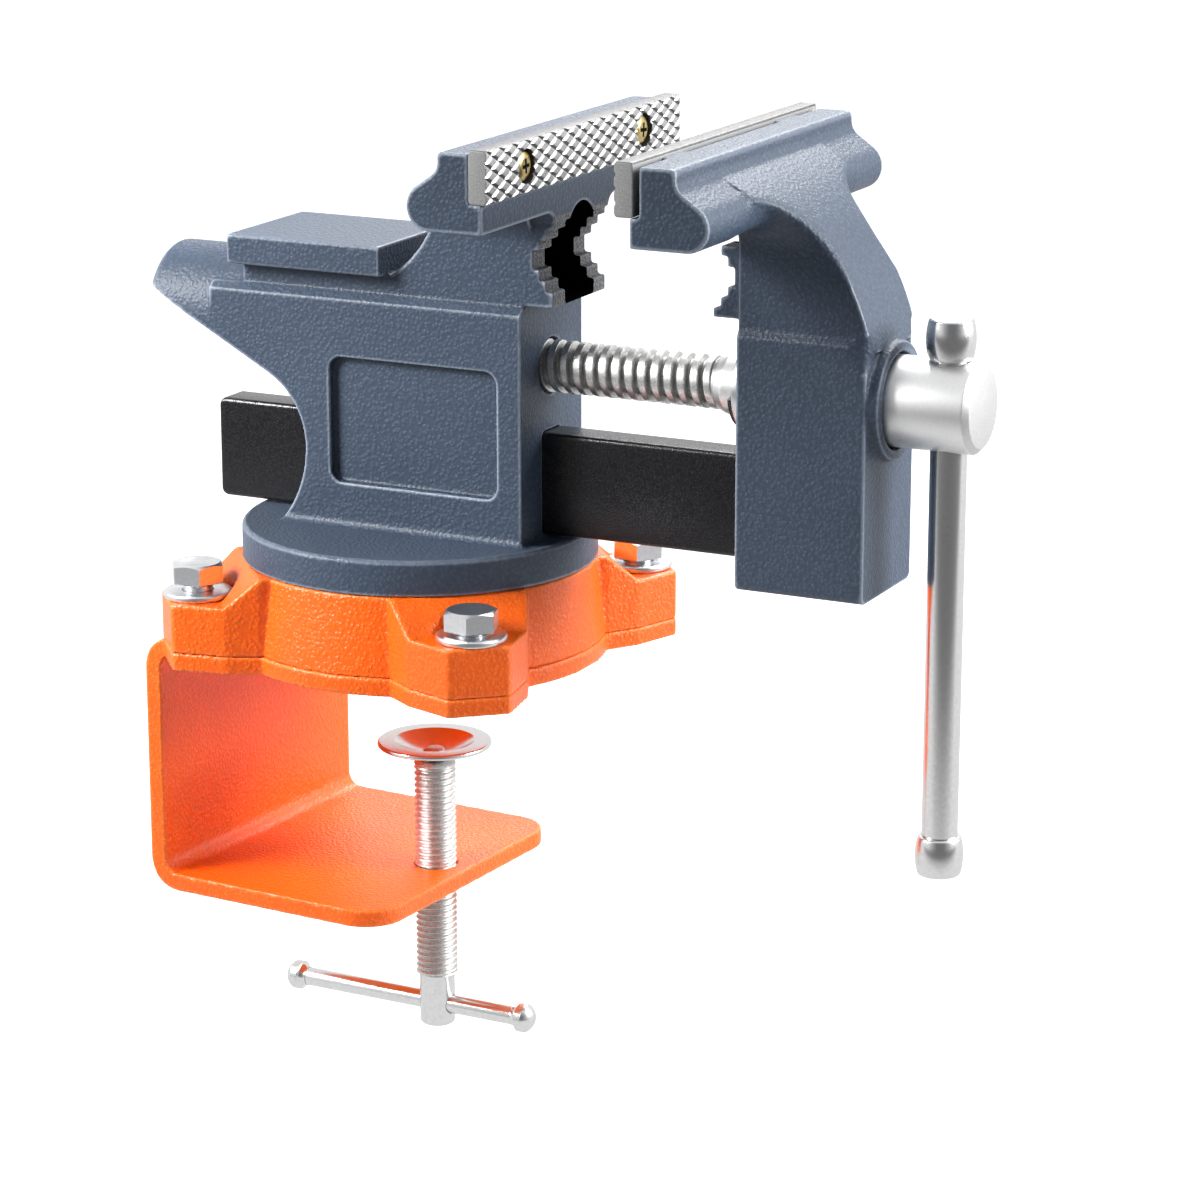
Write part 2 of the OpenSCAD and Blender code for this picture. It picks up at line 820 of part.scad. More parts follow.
// Domed knob on a flared neck, with a blind bore and its open end at the origin
module domed_knob(d, length, bore, depth) {
    rotate_extrude()
        difference() {
            intersection() {
                translate([0, length - t_knob_dome])
                    circle(t_knob_dome);
                translate([0, length - t_knob_dome])
                    square([d / 2, t_knob_dome]);
            }
            translate([0, -1])
                square([bore / 2, depth + 1]);
        }
    rotate_extrude()
        difference() {
            polygon([[0, 0], [t_bar_d / 2 + 0.3, 0], [d / 2, t_knob_neck],
                [d / 2, length - t_knob_dome], [0, length - t_knob_dome]]);
            translate([0, -1])
                square([bore / 2, depth + 1]);
        }
}

module tommy_bar() {
    color(steel)
        translate([tommy_x, 0, 0])
            stub_rod(tommy_d, stub_d, stub_length, tommy_bottom + knob_length, tommy_top - knob_length);
}

module tommy_knob_top() {
    color(steel)
        translate([tommy_x, 0, tommy_top - knob_length])
            barrel_knob(knob_d, knob_end_d, knob_length, stub_d + 2 * tap_gap, stub_length);
}

module tommy_knob_bottom() {
    color(steel)
        translate([tommy_x, 0, tommy_bottom + knob_length])
            mirror([0, 0, 1])
                barrel_knob(knob_d, knob_end_d, knob_length, stub_d + 2 * tap_gap, stub_length);
}

// Places children at the four bolts
module at_bolts() {
    for (turn = [45 : 90 : 315])
        rotate([0, 0, turn])
            translate([bolt_r, 0, 0])
                children();
}

// Plan of one lobe: a flat nose that widens towards the ring
module lobe_plan() {
    nose = 8.8;
    corner = 1.2;
    polygon(concat(
        [[30, -19], [48, -18.5], [lobe_end - 13, -16]],
        arc(lobe_end - corner, corner - nose, corner, -60, 0, 5),
        arc(lobe_end - corner, nose - corner, corner, 0, 60, 5),
        [[lobe_end - 13, 16], [48, 18.5], [30, 19]]));
}

// Swivel base casting: a hollow ring with four bolt lobes
module swivel_base() {
    crest = lobe_end - 13;
    color(orange)
        turned()
            difference() {
                union() {
                    translate([0, 0, clamp_thick])
                        cylinder(r1 = base_foot_r, r2 = base_top_r, h = base_height);
                    for (turn = [45 : 90 : 315])
                        rotate([0, 0, turn])
                            intersection() {
                                translate([0, 0, clamp_thick])
                                    linear_extrude(base_height)
                                        lobe_plan();
                                along_y(60)
                                    polygon([[25, clamp_thick], [lobe_end, clamp_thick],
                                        [lobe_end, z_land], [crest, z_land],
                                        [base_top_r - 0.5, z_base], [25, z_base]]);
                            }
                }
                at_bolts() {
                    translate([0, 0, z_land])
                        cylinder(r = seat_r, h = base_height);
                    translate([0, 0, clamp_thick - 1])
                        cylinder(d = bolt_d + 0.8, h = base_height);
                }
                translate([0, 0, clamp_thick - 1])
                    cylinder(d = retainer_d + 2, h = web_z - clamp_thick + 1);
                translate([0, 0, clamp_thick])
                    cylinder(d = spigot_d + 0.2, h = base_height + 1);
            }
}

// Side view of the bent bracket: two legs, the back and two round bends
module bracket_side() {
    knee = -clamp_back + bend_in;
    translate([knee, 0])
        square([clamp_back - bend_in - top_edge, clamp_thick]);
    translate([-clamp_back - clamp_thick, leg_z + bend_out])
        square([clamp_thick, clamp_throat - 2 * bend_in]);
    translate([knee, leg_z])
        square([clamp_reach - knee, clamp_thick]);
    for (z = [-bend_in, leg_z + bend_out])
        intersection() {
            translate([knee, z])
                difference() {
                    circle(bend_out);
                    circle(bend_in);
                }
            translate([knee - 20, z > leg_z + bend_out ? z : z - 20])
                square(20);
        }
}

// Plan of the bracket's legs: straight at the back, with round corners at the open end
module bracket_plan() {
    corner = 11;
    reach = clamp_back + clamp_thick + 1;
    translate([-reach, -clamp_width / 2])
        square([reach + clamp_reach - corner, clamp_width]);
    translate([-reach, corner - clamp_width / 2])
        square([reach + clamp_reach, clamp_width - 2 * corner]);
    for (side = [-1, 1])
        translate([clamp_reach - corner, side * (clamp_width / 2 - corner)])
            circle(corner);
}

// Bent clamp bracket: the top leg follows the base casting's plan
module clamp_bracket() {
    color(orange)
        turned()
            difference() {
                union() {
                    translate([0, clamp_shift, 0])
                        intersection() {
                            along_y(clamp_width)
                                bracket_side();
                            translate([0, 0, leg_z - 1])
                                linear_extrude(clamp_throat + 4 * clamp_thick)
                                    bracket_plan();
                        }
                    linear_extrude(clamp_thick) {
                        circle(r = base_foot_r + 0.4);
                        for (turn = [45 : 90 : 315])
                            rotate(turn)
                                lobe_plan();
                    }
                }
                at_bolts()
                    translate([0, 0, -1])
                        cylinder(d = bolt_d + 2 * tap_gap, h = clamp_thick + 2, $fn = 48);
                translate([clamp_screw_offset, 0, leg_z - 1])
                    cylinder(d = clamp_screw_d + 2 * run_gap, h = clamp_thick + 2);
            }
}

// Hex bolts of the base
module base_bolts() {
    color(zinc)
        turned()
            for (i = [0 : 3])
                rotate([0, 0, 45 + 90 * i])
                    translate([bolt_r, 0, 0]) {
                        seat = z_land + washer_thick_m8 + bolt_lifts[i];
                        translate([0, 0, 0.3])
                            cylinder(d = bolt_d, h = seat - 0.2, $fn = 48);
                        translate([0, 0, seat])
                            intersection() {
                                rotate([0, 0, bolt_turns[i]])
                                    cylinder(d = bolt_flats / cos(30), h = bolt_head, $fn = 6);
                                cylinder(r1 = bolt_flats / 2 + bolt_head + 0.2,
                                    r2 = bolt_flats / 2 + 0.2, h = bolt_head);
                            }
                    }
}

module base_washers() {
    color(zinc)
        turned()
            at_bolts()
                translate([0, 0, z_land])
                    difference() {
                        cylinder(d = washer_d, h = washer_thick_m8);
                        translate([0, 0, -1])
                            cylinder(d = bolt_d + 0.4, h = washer_thick_m8 + 2, $fn = 48);
                    }
}

// Plate under the spigot that keeps the vise on its base
module swivel_retainer() {
    color(steel)
        difference() {
            translate([0, 0, web_z - seat_gap - retainer_thick])
                cylinder(d = retainer_d, h = retainer_thick);
            translate([0, 0, web_z - seat_gap - retainer_thick - 1])
                cylinder(d = centre_d + 0.4, h = retainer_thick + 2, $fn = 48);
            translate([0, 0, web_z - seat_gap - retainer_thick])
                cylinder(d1 = centre_head_d + 0.2, d2 = centre_d + 0.2, h = centre_head);
        }
}

// Countersunk screw that draws the retainer up to the spigot
module swivel_centre_screw() {
    low = web_z - seat_gap - retainer_thick;
    color(zinc)
        difference() {
            union() {
                translate([0, 0, low])
                    cylinder(d1 = centre_head_d, d2 = centre_d, h = centre_head);
                translate([0, 0, low + centre_head])
                    cylinder(d = centre_d, h = z_body - 6 - low - centre_head, $fn = 48);
            }
            translate([0, 0, low - 1])
                cylinder(d = centre_socket, h = centre_head, $fn = 6);
        }
}

// Places children on the clamp screw's axis
module on_clamp() {
    turned()
        translate([clamp_screw_offset, 0, 0])
            children();
}

// Clamp screw: riveted neck in the pad, thread, and a plain end drilled for the T-bar
module clamp_screw() {
    rivet_z = pad_floor + pad_wall + 0.3 + seat_gap;
    color(steel)
        on_clamp()
            difference() {
                union() {
                    translate([0, 0, rivet_z])
                        cylinder(d1 = rivet_d, d2 = rivet_d - 1.6, h = 1.4, $fn = 48);
                    translate([0, 0, clamp_top - 1])
                        cylinder(d = neck_d, h = rivet_z - clamp_top + 1.5, $fn = 48);
                    translate([0, 0, thread_bottom])
                        cylinder(d = clamp_screw_d, h = clamp_thread_length - 1);
                    translate([0, 0, clamp_top - 1])
                        cylinder(d1 = clamp_screw_d, d2 = clamp_screw_d - 2, h = 1);
                    translate([0, 0, thread_bottom - clamp_tail])
                        cylinder(d = clamp_tail_d, h = clamp_tail + 1);
                }
                translate([0, 0, t_bar_z])
                    rotate([0, 90, t_bar_turn - clamp_turn])
                        cylinder(d = t_bar_d + 0.2, h = 3 * clamp_tail_d, center = true, $fn = 48);
            }
}

// Pressed pad that turns on the rivet: a round dish with a flat rim
module clamp_pad() {
    dish_r = pad_d / 2 - pad_rim;
    drop = pad_height - pad_wall;
    round_r = (dish_r * dish_r + drop * drop) / (2 * drop);
    color(steel)
        on_clamp()
            translate([0, 0, pad_floor])
                rotate_extrude()
                    difference() {
                        union() {
                            translate([0, pad_height - pad_wall])
                                square([pad_d / 2, pad_wall]);
                            intersection() {
                                translate([0, round_r])
                                    circle(round_r, $fn = 180);
                                square([dish_r, pad_height]);
                            }
                        }
                        intersection() {
                            translate([0, round_r + pad_wall])
                                circle(round_r, $fn = 180);
                            square([dish_r, pad_height + 1]);
                        }
                        translate([0, -1])
                            square([neck_d / 2 + run_gap, pad_height + 2]);
                    }
}

// Lays what is drawn along Z out along the T-bar
module on_t_bar() {
    on_clamp()
        translate([0, 0, t_bar_z])
            rotate([0, 90, t_bar_turn - clamp_turn])
                translate([0, 0, t_bar_shift])
                    children();
}

module t_bar() {
    half = t_bar_length / 2 - t_knob_length;
    color(steel)
        on_t_bar()
            stub_rod(t_bar_d, t_stub_d, t_stub_length, -half, half, $fn = 48);
}

module t_bar_knob_left() {
    color(steel)
        on_t_bar()
            translate([0, 0, t_knob_length - t_bar_length / 2])
                mirror([0, 0, 1])
                    domed_knob(t_knob_d, t_knob_length, t_stub_d + 2 * tap_gap, t_stub_length);
}

module t_bar_knob_right() {
    color(steel)
        on_t_bar()
            translate([0, 0, t_bar_length / 2 - t_knob_length])
                domed_knob(t_knob_d, t_knob_length, t_stub_d + 2 * tap_gap, t_stub_length);
}

fixed_jaw_body();
fixed_jaw_plate();
fixed_plate_screws();
main_nut();
nut_pin();
moving_jaw_body();
moving_jaw_plate();
moving_plate_screws();
slide_bar();
bar_set_screws();
main_screw();
retaining_clip();
thrust_washer();
tommy_bar();
tommy_knob_top();
tommy_knob_bottom();
swivel_base();
clamp_bracket();
base_bolts();
base_washers();
swivel_retainer();
swivel_centre_screw();
clamp_screw();
clamp_pad();
t_bar();
t_bar_knob_left();
t_bar_knob_right();
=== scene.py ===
"""Looks of a clamp-on swivel bench vise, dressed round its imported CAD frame."""
import math

import bmesh
import bpy
import numpy as np
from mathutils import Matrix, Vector


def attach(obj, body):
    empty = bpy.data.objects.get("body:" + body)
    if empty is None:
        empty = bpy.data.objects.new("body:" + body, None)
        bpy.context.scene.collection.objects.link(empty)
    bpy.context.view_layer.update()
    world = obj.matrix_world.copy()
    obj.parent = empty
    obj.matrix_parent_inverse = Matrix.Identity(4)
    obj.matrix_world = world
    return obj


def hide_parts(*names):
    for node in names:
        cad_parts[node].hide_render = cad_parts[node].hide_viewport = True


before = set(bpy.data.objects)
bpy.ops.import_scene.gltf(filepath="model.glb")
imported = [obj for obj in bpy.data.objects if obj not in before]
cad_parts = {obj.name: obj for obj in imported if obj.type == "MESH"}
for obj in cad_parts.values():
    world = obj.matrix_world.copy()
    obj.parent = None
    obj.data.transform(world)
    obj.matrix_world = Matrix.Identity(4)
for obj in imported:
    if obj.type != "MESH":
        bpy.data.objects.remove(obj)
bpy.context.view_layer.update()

MM = 0.001

# Sizes in millimetres, those of the CAD source where it has them
JAW_WIDTH = 113.0
PLATE_THICK = 5.2
PLATE_LOW, PLATE_HIGH = 133.3, 147.0
PLATE_SCREW_Y, PLATE_SCREW_Z = 34.3, 140.15
RECESS_R, RECESS_DEPTH = 4.5, 2.6
PLATE_CORNER, PLATE_RIM = 0.8, 0.35
FIXED_FACE, MOVING_FACE = 50.8, 85.6
SCREW_Z = 81.7
SCREW_START, CONE_X, HEAD_X, SCREW_END = -10.0, 90.0, 131.1, 162.0
THREAD_R, THREAD_DEEP, JOURNAL_R, HEAD_R = 7.0, 1.5, 8.0, 11.8
CLIP_X, CLIP_THICK, CLIP_R = 95.6, 1.5, 11.0
WASHER_X, WASHER_THICK, WASHER_R = 97.15, 3.3, 12.0
TOMMY_X, TOMMY_R, TOMMY_LOW, TOMMY_HIGH = 152.4, 4.75, -32.2, 93.6
TOMMY_HOLE_R = 4.85
KNOB_R, KNOB_END_R, KNOB_LENGTH = 6.4, 5.6, 10.6
BAR_X, BAR_Y, BAR_Z, BAR_CORNER = (-59.6, 127.9), 5.4, (36.9, 64.5), 1.8
BASE_TURN = math.radians(-4.2)
BOLT_CIRCLE_R, LAND_Z = 61.3, 18.2
BOLT_LIFTS, BOLT_TURNS = (1.0, 1.0, 2.2, 1.0), (12, 48, 25, -23)
HALF_FLATS, BOLT_HEAD_HIGH, SHANK_R = 6.5, 5.4, 4.0
FLAT_WASHER_R, FLAT_WASHER_HOLE_R, FLAT_WASHER_THICK = 9.35, 4.25, 1.8
BLOCK_END, BOSS_HIGH = 136.2, 2.8
CLAMP_OFF = 3.7
CLAMP_AXIS = (CLAMP_OFF * math.cos(BASE_TURN), CLAMP_OFF * math.sin(BASE_TURN))
PAD_FLOOR, PAD_HEIGHT, PAD_WALL, PAD_R, DISH_R = -32.0, 5.3, 1.4, 15.75, 11.15
CLAMP_TOP, CLAMP_THREAD_LOW, CLAMP_END = -32.1, -94.2, -109.5
CLAMP_THREAD_R, CLAMP_THREAD_DEEP, CLAMP_END_R, SWAGE_Z, SWAGE_R = 5.8, 0.95, 4.95, -30.2, 2.5
T_BAR_Z, T_BAR_R, T_BAR_HALF, T_BAR_SHIFT = -103.5, 2.6, 33.2, -9.0
T_BAR_HOLE_R, DOME_END, DOME_R = 2.75, 6.7, 4.6
T_BAR_TURN = math.radians(-1.6)
T_BAR_AXIS = (math.cos(T_BAR_TURN), math.sin(T_BAR_TURN), 0.0)

# Pitches of the threads and of the crosshatch, measured on the photograph
MAIN_PITCH, CLAMP_PITCH = 3.75, 1.75
DIAMOND_WIDE, DIAMOND_HIGH = 7.1, 3.5
GROOVE_WIDE, GROOVE_DEEP = 1.25, 0.6

# Cells of the castings, how often they are worn round, and the triangles that a piece may have
JAW_CELL, BASE_CELL = 0.36, 0.5
BLEND_PASSES, QUICK_BLEND_PASSES, BEND_PASSES = 320, 80, 5
MOST_TRIANGLES = 190000

# Boxes (low corner, high corner) round the stepped pipe jaws and their hollows; boxes round the roots of the
# arm, with the distance over which their blend fades
FIXED_STEPS, FIXED_HOLLOW = ((41.8, -16.2, 99.9), (50, 16.2, 124.4)), ((22, -8.5, 99.9), (48.9, 8.5, 126.4))
MOVING_STEPS, MOVING_HOLLOW = ((92, -15, 101), (101, 15, 120.5)), ((94, -8.5, 99.9), (113, 8.5, 124.5))
JAW_ROOT, BLOCK_ROOT = ((108, 18, 113), (125, 30, 131), 7), ((134, 14, 94), (140, 18, 98), 3)


# Mesh making

def grid_faces(rows, columns, loop_rows=False, loop_columns=False):
    """Quads of a grid of rows by columns points, numbered row by row; a loop joins the last line to the
    first."""
    r = np.arange(rows if loop_rows else rows - 1)
    c = np.arange(columns if loop_columns else columns - 1)
    r, c = np.meshgrid(r, c, indexing="ij")
    down, right = (r + 1) % rows, (c + 1) % columns
    r, down = r * columns, down * columns
    return np.stack([r + c, r + right, down + right, down + c], -1).reshape(-1, 4)


def closed_tube(rows, columns):
    """Faces of a section carried along a path: a grid whose columns close and a flat face at each end."""
    section = np.arange(columns)
    return list(grid_faces(rows, columns, False, True)) + [section, section + (rows - 1) * columns]


def softened(corners, closed=False, steps=6):
    """Outline whose corners (a, b, radius) are swapped for arcs that touch both sides and take no more than
    half of a side."""
    place = np.array([c[:2] for c in corners], float)
    wanted = [c[2] if len(c) > 2 else 0.0 for c in corners]
    out = []
    for i, radius in enumerate(wanted):
        here = place[i]
        if radius <= 0 or (not closed and i in (0, len(place) - 1)):
            out.append(here[None])
            continue
        to_last, to_next = place[i - 1] - here, place[(i + 1) % len(place)] - here
        sides = np.linalg.norm(to_last), np.linalg.norm(to_next)
        to_last, to_next = to_last / sides[0], to_next / sides[1]
        half = 0.5 * math.acos(float(np.clip(to_last @ to_next, -1, 1)))
        reach = min(radius / math.tan(half), 0.499 * min(sides))
        middle = to_last + to_next
        centre = here + middle / np.linalg.norm(middle) * reach / math.cos(half)
        first, last = here + to_last * reach - centre, here + to_next * reach - centre
        start = math.atan2(first[1], first[0])
        turn = (math.atan2(last[1], last[0]) - start + math.pi) % (2 * math.pi) - math.pi
        angle = start + turn * np.linspace(0, 1, steps + 1)
        out.append(centre + np.linalg.norm(first) * np.stack([np.cos(angle), np.sin(angle)], -1))
    return np.concatenate(out)


def across(axis):
    """Two unit directions square to an axis and to each other."""
    axis = np.array(axis, float) / np.linalg.norm(axis)
    helper = np.array([0, 0, 1.0]) if abs(axis[2]) < 0.9 else np.array([1.0, 0, 0])
    side = np.cross(helper, axis)
    side /= np.linalg.norm(side)
    return axis, side, np.cross(axis, side)


def turned(profile, origin, axis=(0, 0, 1), segments=96, ring=False):
    """Lathe work: profile rows (s, r) give origin + s * axis + r * (side * cos t + up * sin t), with t going
    round the circle; a ring's last row joins its first."""
    axis, side, up = across(axis)
    s, r = np.asarray(profile, float).T
    t = np.arange(segments) * 2 * math.pi / segments
    circle = np.cos(t)[:, None] * side + np.sin(t)[:, None] * up
    points = np.array(origin, float) + s[:, None, None] * axis + r[:, None, None] * circle
    return points.reshape(-1, 3), grid_faces(len(s), segments, ring, True)


def threaded(before, low, high, pitch, form, radius, after, origin, axis, segments, samples):
    """Screw thread: the row at s carries the point s + pitch * t / turn, and its radius is less by
    form(s / pitch); the depth fades out over one pitch at both ends, where rows are held at low and high.
    before and after are plain lathe rows."""
    axis, side, up = across(axis)
    t = np.arange(segments + 1) / segments
    rows = np.arange(round((high - low) / pitch + 1) * samples + 1) / samples * pitch + low - pitch
    s = np.clip(rows[:, None] + pitch * t, low, high)
    fade = np.clip(np.minimum(s - low, high - s) / pitch, 0, 1)
    r = radius - form(rows / pitch % 1.0)[:, None] * fade
    for extra, first in ((before, True), (after, False)):
        if len(extra):
            es, er = (np.repeat(v[:, None], segments + 1, 1) for v in np.asarray(extra, float).T)
            s = np.concatenate([es, s] if first else [s, es])
            r = np.concatenate([er, r] if first else [r, er])
    angle = 2 * math.pi * t
    circle = np.cos(angle)[:, None] * side + np.sin(angle)[:, None] * up
    points = np.array(origin, float) + s[..., None] * axis + r[..., None] * circle
    return points.reshape(-1, 3), grid_faces(len(s), segments + 1)


def new_mesh(name, points, faces, merge=0.004):
    """A mesh in metres from points in millimetres, its doubles merged and its faces turned outwards."""
    mesh = bpy.data.meshes.new(name)
    mesh.from_pydata((np.asarray(points) * MM).tolist(), [], [list(map(int, f)) for f in faces])
    work = bmesh.new()
    work.from_mesh(mesh)
    bmesh.ops.remove_doubles(work, verts=work.verts, dist=merge * MM)
    bmesh.ops.dissolve_degenerate(work, edges=work.edges, dist=0.0005 * MM)
    bmesh.ops.recalc_face_normals(work, faces=work.faces)
    work.to_mesh(mesh)
    work.free()
    return mesh


def joined(*parts):
    """Several (points, faces) surfaces as one."""
    points, faces, count = [], [], 0
    for p, f in parts:
        points.append(p)
        faces += [np.asarray(face) + count for face in f]
        count += len(p)
    return np.concatenate(points), faces


def place(name, mesh, body, slot, material, nodes=(), sharp=40):
    """Puts a mesh into the scene as a piece that rides on a body and stands for CAD nodes."""
    mesh.shade_smooth()
    mesh.set_sharp_from_angle(angle=math.radians(sharp))
    piece = bpy.data.objects.new(name, mesh)
    bpy.context.scene.collection.objects.link(piece)
    for m in material if isinstance(material, (list, tuple)) else [material]:
        mesh.materials.append(m)
    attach(piece, body)
    if nodes:
        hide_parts(*nodes)
    return piece


def cut(mesh, cutters):
    """Takes closed cutter surfaces out of a mesh and returns the new mesh."""
    body = bpy.data.objects.new("being_cut", mesh)
    bpy.context.scene.collection.objects.link(body)
    tools = []
    for points, faces in cutters:
        tool = bpy.data.objects.new("cutter", new_mesh("cutter", points, faces))
        bpy.context.scene.collection.objects.link(tool)
        change = body.modifiers.new("cut", "BOOLEAN")
        change.operation, change.solver, change.object = "DIFFERENCE", "EXACT", tool
        tools.append(tool)
    result = bpy.data.meshes.new_from_object(body.evaluated_get(bpy.context.evaluated_depsgraph_get()))
    for o in tools + [body]:
        old = o.data
        bpy.data.objects.remove(o)
        bpy.data.meshes.remove(old)
    return result


# Finishes

def new_finish(name):
    """An empty material: its nodes, its links and its main shader."""
    material = bpy.data.materials.new(name)
    material.use_nodes = True
    tree = material.node_tree
    return material, tree.nodes, tree.links, tree.nodes["Principled BSDF"]


def node(nodes, kind, **values):
    """A shader node with its settings; names with a leading capital are sockets."""
    made = nodes.new("ShaderNode" + kind)
    for key, value in values.items():
        if key[0].isupper():
            made.inputs[key.replace("_", " ")].default_value = value
        else:
            setattr(made, key, value)
    return made


def colour_ramp(nodes, links, factor, stops):
    """A colour ramp over a factor from rows (position, colour)."""
    ramp = nodes.new("ShaderNodeValToRGB")
    links.new(factor, ramp.inputs["Fac"])
    while len(ramp.color_ramp.elements) < len(stops):
        ramp.color_ramp.elements.new(0.5)
    for element, (position, colour) in zip(ramp.color_ramp.elements, stops):
        element.position = position
        element.color = (*colour, 1)
    return ramp.outputs["Color"]


def enamel(name, colour, light, cell, rough, depth=0.12, specular=0.85, edge=(0.5, 0.56, 0.64), edge_highlight=0.15):
    """Enamel with a leathery pebble: rounded Voronoi cells, bent by noise, that rise to a paler crown and
    fall to a dark seam. The colour runs towards a pale edge, a painted highlight, where the surface bends
    sharply outwards, and darkens in corners as painted shade."""
    material, nodes, links, shader = new_finish(name)
    where = node(nodes, "TexCoord").outputs["Object"]
    bend = node(nodes, "TexNoise", Scale=700.0, Detail=2.0)
    links.new(where, bend.inputs["Vector"])
    bent = node(nodes, "MixRGB", blend_type="LINEAR_LIGHT", Fac=0.0003)
    links.new(where, bent.inputs["Color1"])
    links.new(bend.outputs["Color"], bent.inputs["Color2"])
    cells = node(nodes, "TexVoronoi", feature="SMOOTH_F1", Scale=1 / (cell * MM), Smoothness=0.5)
    links.new(bent.outputs["Color"], cells.inputs["Vector"])
    fine = node(nodes, "TexNoise", Scale=2.6 / (cell * MM), Detail=3.0, Roughness=0.6)
    links.new(where, fine.inputs["Vector"])
    broad = node(nodes, "TexNoise", Scale=26.0, Detail=3.0)
    links.new(where, broad.inputs["Vector"])
    crown = node(nodes, "MapRange", From_Min=0.1, From_Max=0.62, To_Min=1.0, To_Max=0.0)
    links.new(cells.outputs["Distance"], crown.inputs["Value"])
    fine_share = node(nodes, "Math", operation="MULTIPLY")
    links.new(fine.outputs["Fac"], fine_share.inputs[0])
    fine_share.inputs[1].default_value = 0.4
    height = node(nodes, "Math", operation="MULTIPLY_ADD")
    links.new(crown.outputs["Result"], height.inputs[0])
    height.inputs[1].default_value = 0.6
    links.new(fine_share.outputs[0], height.inputs[2])
    bump = node(nodes, "Bump", Strength=1.0, Distance=depth * MM)
    links.new(height.outputs[0], bump.inputs["Height"])
    links.new(bump.outputs["Normal"], shader.inputs["Normal"])
    tone = colour_ramp(nodes, links, height.outputs[0], [(0.15, colour), (0.85, light)])
    patch = colour_ramp(nodes, links, broad.outputs["Fac"],
                        [(0.3, (0.9, 0.9, 0.9)), (0.7, (1.08, 1.08, 1.08))])
    mixed = node(nodes, "MixRGB", blend_type="MULTIPLY", Fac=1.0)
    links.new(tone, mixed.inputs["Color1"])
    links.new(patch, mixed.inputs["Color2"])
    bend_out = node(nodes, "Math", operation="ADD")
    links.new(node(nodes, "Attribute", attribute_name="bend").outputs["Fac"], bend_out.inputs[0])
    bend_out.inputs[1].default_value = 0.5
    # Painted shade: the colour falls to half in corners, where the surface bends inwards
    hollow = colour_ramp(nodes, links, bend_out.outputs[0], [(0.41, (0.5, 0.5, 0.52)), (0.475, (1, 1, 1))])
    darker = node(nodes, "MixRGB", blend_type="MULTIPLY", Fac=1.0)
    links.new(mixed.outputs["Color"], darker.inputs["Color1"])
    links.new(hollow, darker.inputs["Color2"])
    # Painted highlight: the colour runs towards the pale edge colour where the surface bends outwards
    rim = colour_ramp(nodes, links, bend_out.outputs[0], [(0.522, (0, 0, 0)), (0.58, (edge_highlight, edge_highlight, edge_highlight))])
    pale = node(nodes, "MixRGB", Color2=(*edge, 1))
    links.new(rim, pale.inputs["Fac"])
    links.new(darker.outputs["Color"], pale.inputs["Color1"])
    links.new(pale.outputs["Color"], shader.inputs["Base Color"])
    shine = node(nodes, "MapRange", To_Min=rough - 0.07, To_Max=rough + 0.09)
    links.new(fine.outputs["Fac"], shine.inputs["Value"])
    links.new(shine.outputs["Result"], shader.inputs["Roughness"])
    shader.inputs["Specular IOR Level"].default_value = specular
    return material


def metal(name, colour, dark, rough, grain=900.0, stretch=(1, 1, 1), depth=0.003, metallic=1.0):
    """Worked metal: a fine grain, stretched along the tool marks, that shades colour, gloss and relief a
    little."""
    material, nodes, links, shader = new_finish(name)
    where = node(nodes, "TexCoord").outputs["Object"]
    along = node(nodes, "Mapping", Scale=stretch)
    links.new(where, along.inputs["Vector"])
    marks = node(nodes, "TexNoise", Scale=grain, Detail=4.0, Roughness=0.65)
    links.new(along.outputs["Vector"], marks.inputs["Vector"])
    links.new(colour_ramp(nodes, links, marks.outputs["Fac"], [(0.3, dark), (0.62, colour)]),
              shader.inputs["Base Color"])
    shine = node(nodes, "MapRange", To_Min=rough + 0.04, To_Max=rough - 0.04)
    links.new(marks.outputs["Fac"], shine.inputs["Value"])
    links.new(shine.outputs["Result"], shader.inputs["Roughness"])
    bump = node(nodes, "Bump", Strength=1.0, Distance=depth * MM)
    links.new(marks.outputs["Fac"], bump.inputs["Height"])
    links.new(bump.outputs["Normal"], shader.inputs["Normal"])
    shader.inputs["Metallic"].default_value = metallic
    return material


def grey(value):
    """A neutral colour."""
    return (value, value, value)


# The edge colour and its share give each enamel its painted edge highlight
blue_grey_enamel = enamel("blue_grey_enamel", (0.039, 0.056, 0.086), (0.057, 0.082, 0.126), 1.05, 0.44,
                          depth=0.17, specular=0.35, edge=(0.38, 0.44, 0.53), edge_highlight=0.6)
rough_casting = enamel("rough_casting", (0.012, 0.013, 0.017), (0.22, 0.22, 0.24), 0.75, 0.5, depth=0.5)
# Painted shade: black for the deep hollows of the pipe jaws, which lie in shadow
painted_shade_hollow = enamel("painted_shade_hollow", grey(0.001), grey(0.002), 0.9, 0.95, specular=0.0, edge_highlight=0.0)
orange_enamel = enamel("orange_enamel", (0.88, 0.11, 0.001), (0.97, 0.15, 0.003), 1.0, 0.3,
                       depth=0.24, specular=0.45, edge=(1.0, 0.3, 0.06), edge_highlight=0.3)
black_paint = enamel("black_paint", (0.004, 0.004, 0.005), (0.016, 0.016, 0.019), 0.5, 0.2,
                     depth=0.05, specular=0.45, edge=(0.16, 0.16, 0.17), edge_highlight=0.5)
satin_steel = metal("satin_steel", grey(0.74), grey(0.68), 0.21, depth=0.0008)
thread_steel = metal("thread_steel", (0.74, 0.74, 0.73), (0.42, 0.42, 0.41), 0.4, grain=2200.0)
# Painted shade: darker steel for the roots of the main screw's thread
root_shade_steel = metal("root_shade_steel", grey(0.3), grey(0.16), 0.45, grain=2200.0)
head_steel = metal("head_steel", grey(0.84), grey(0.75), 0.42, stretch=(7, 1, 1), depth=0.002, metallic=0.92)
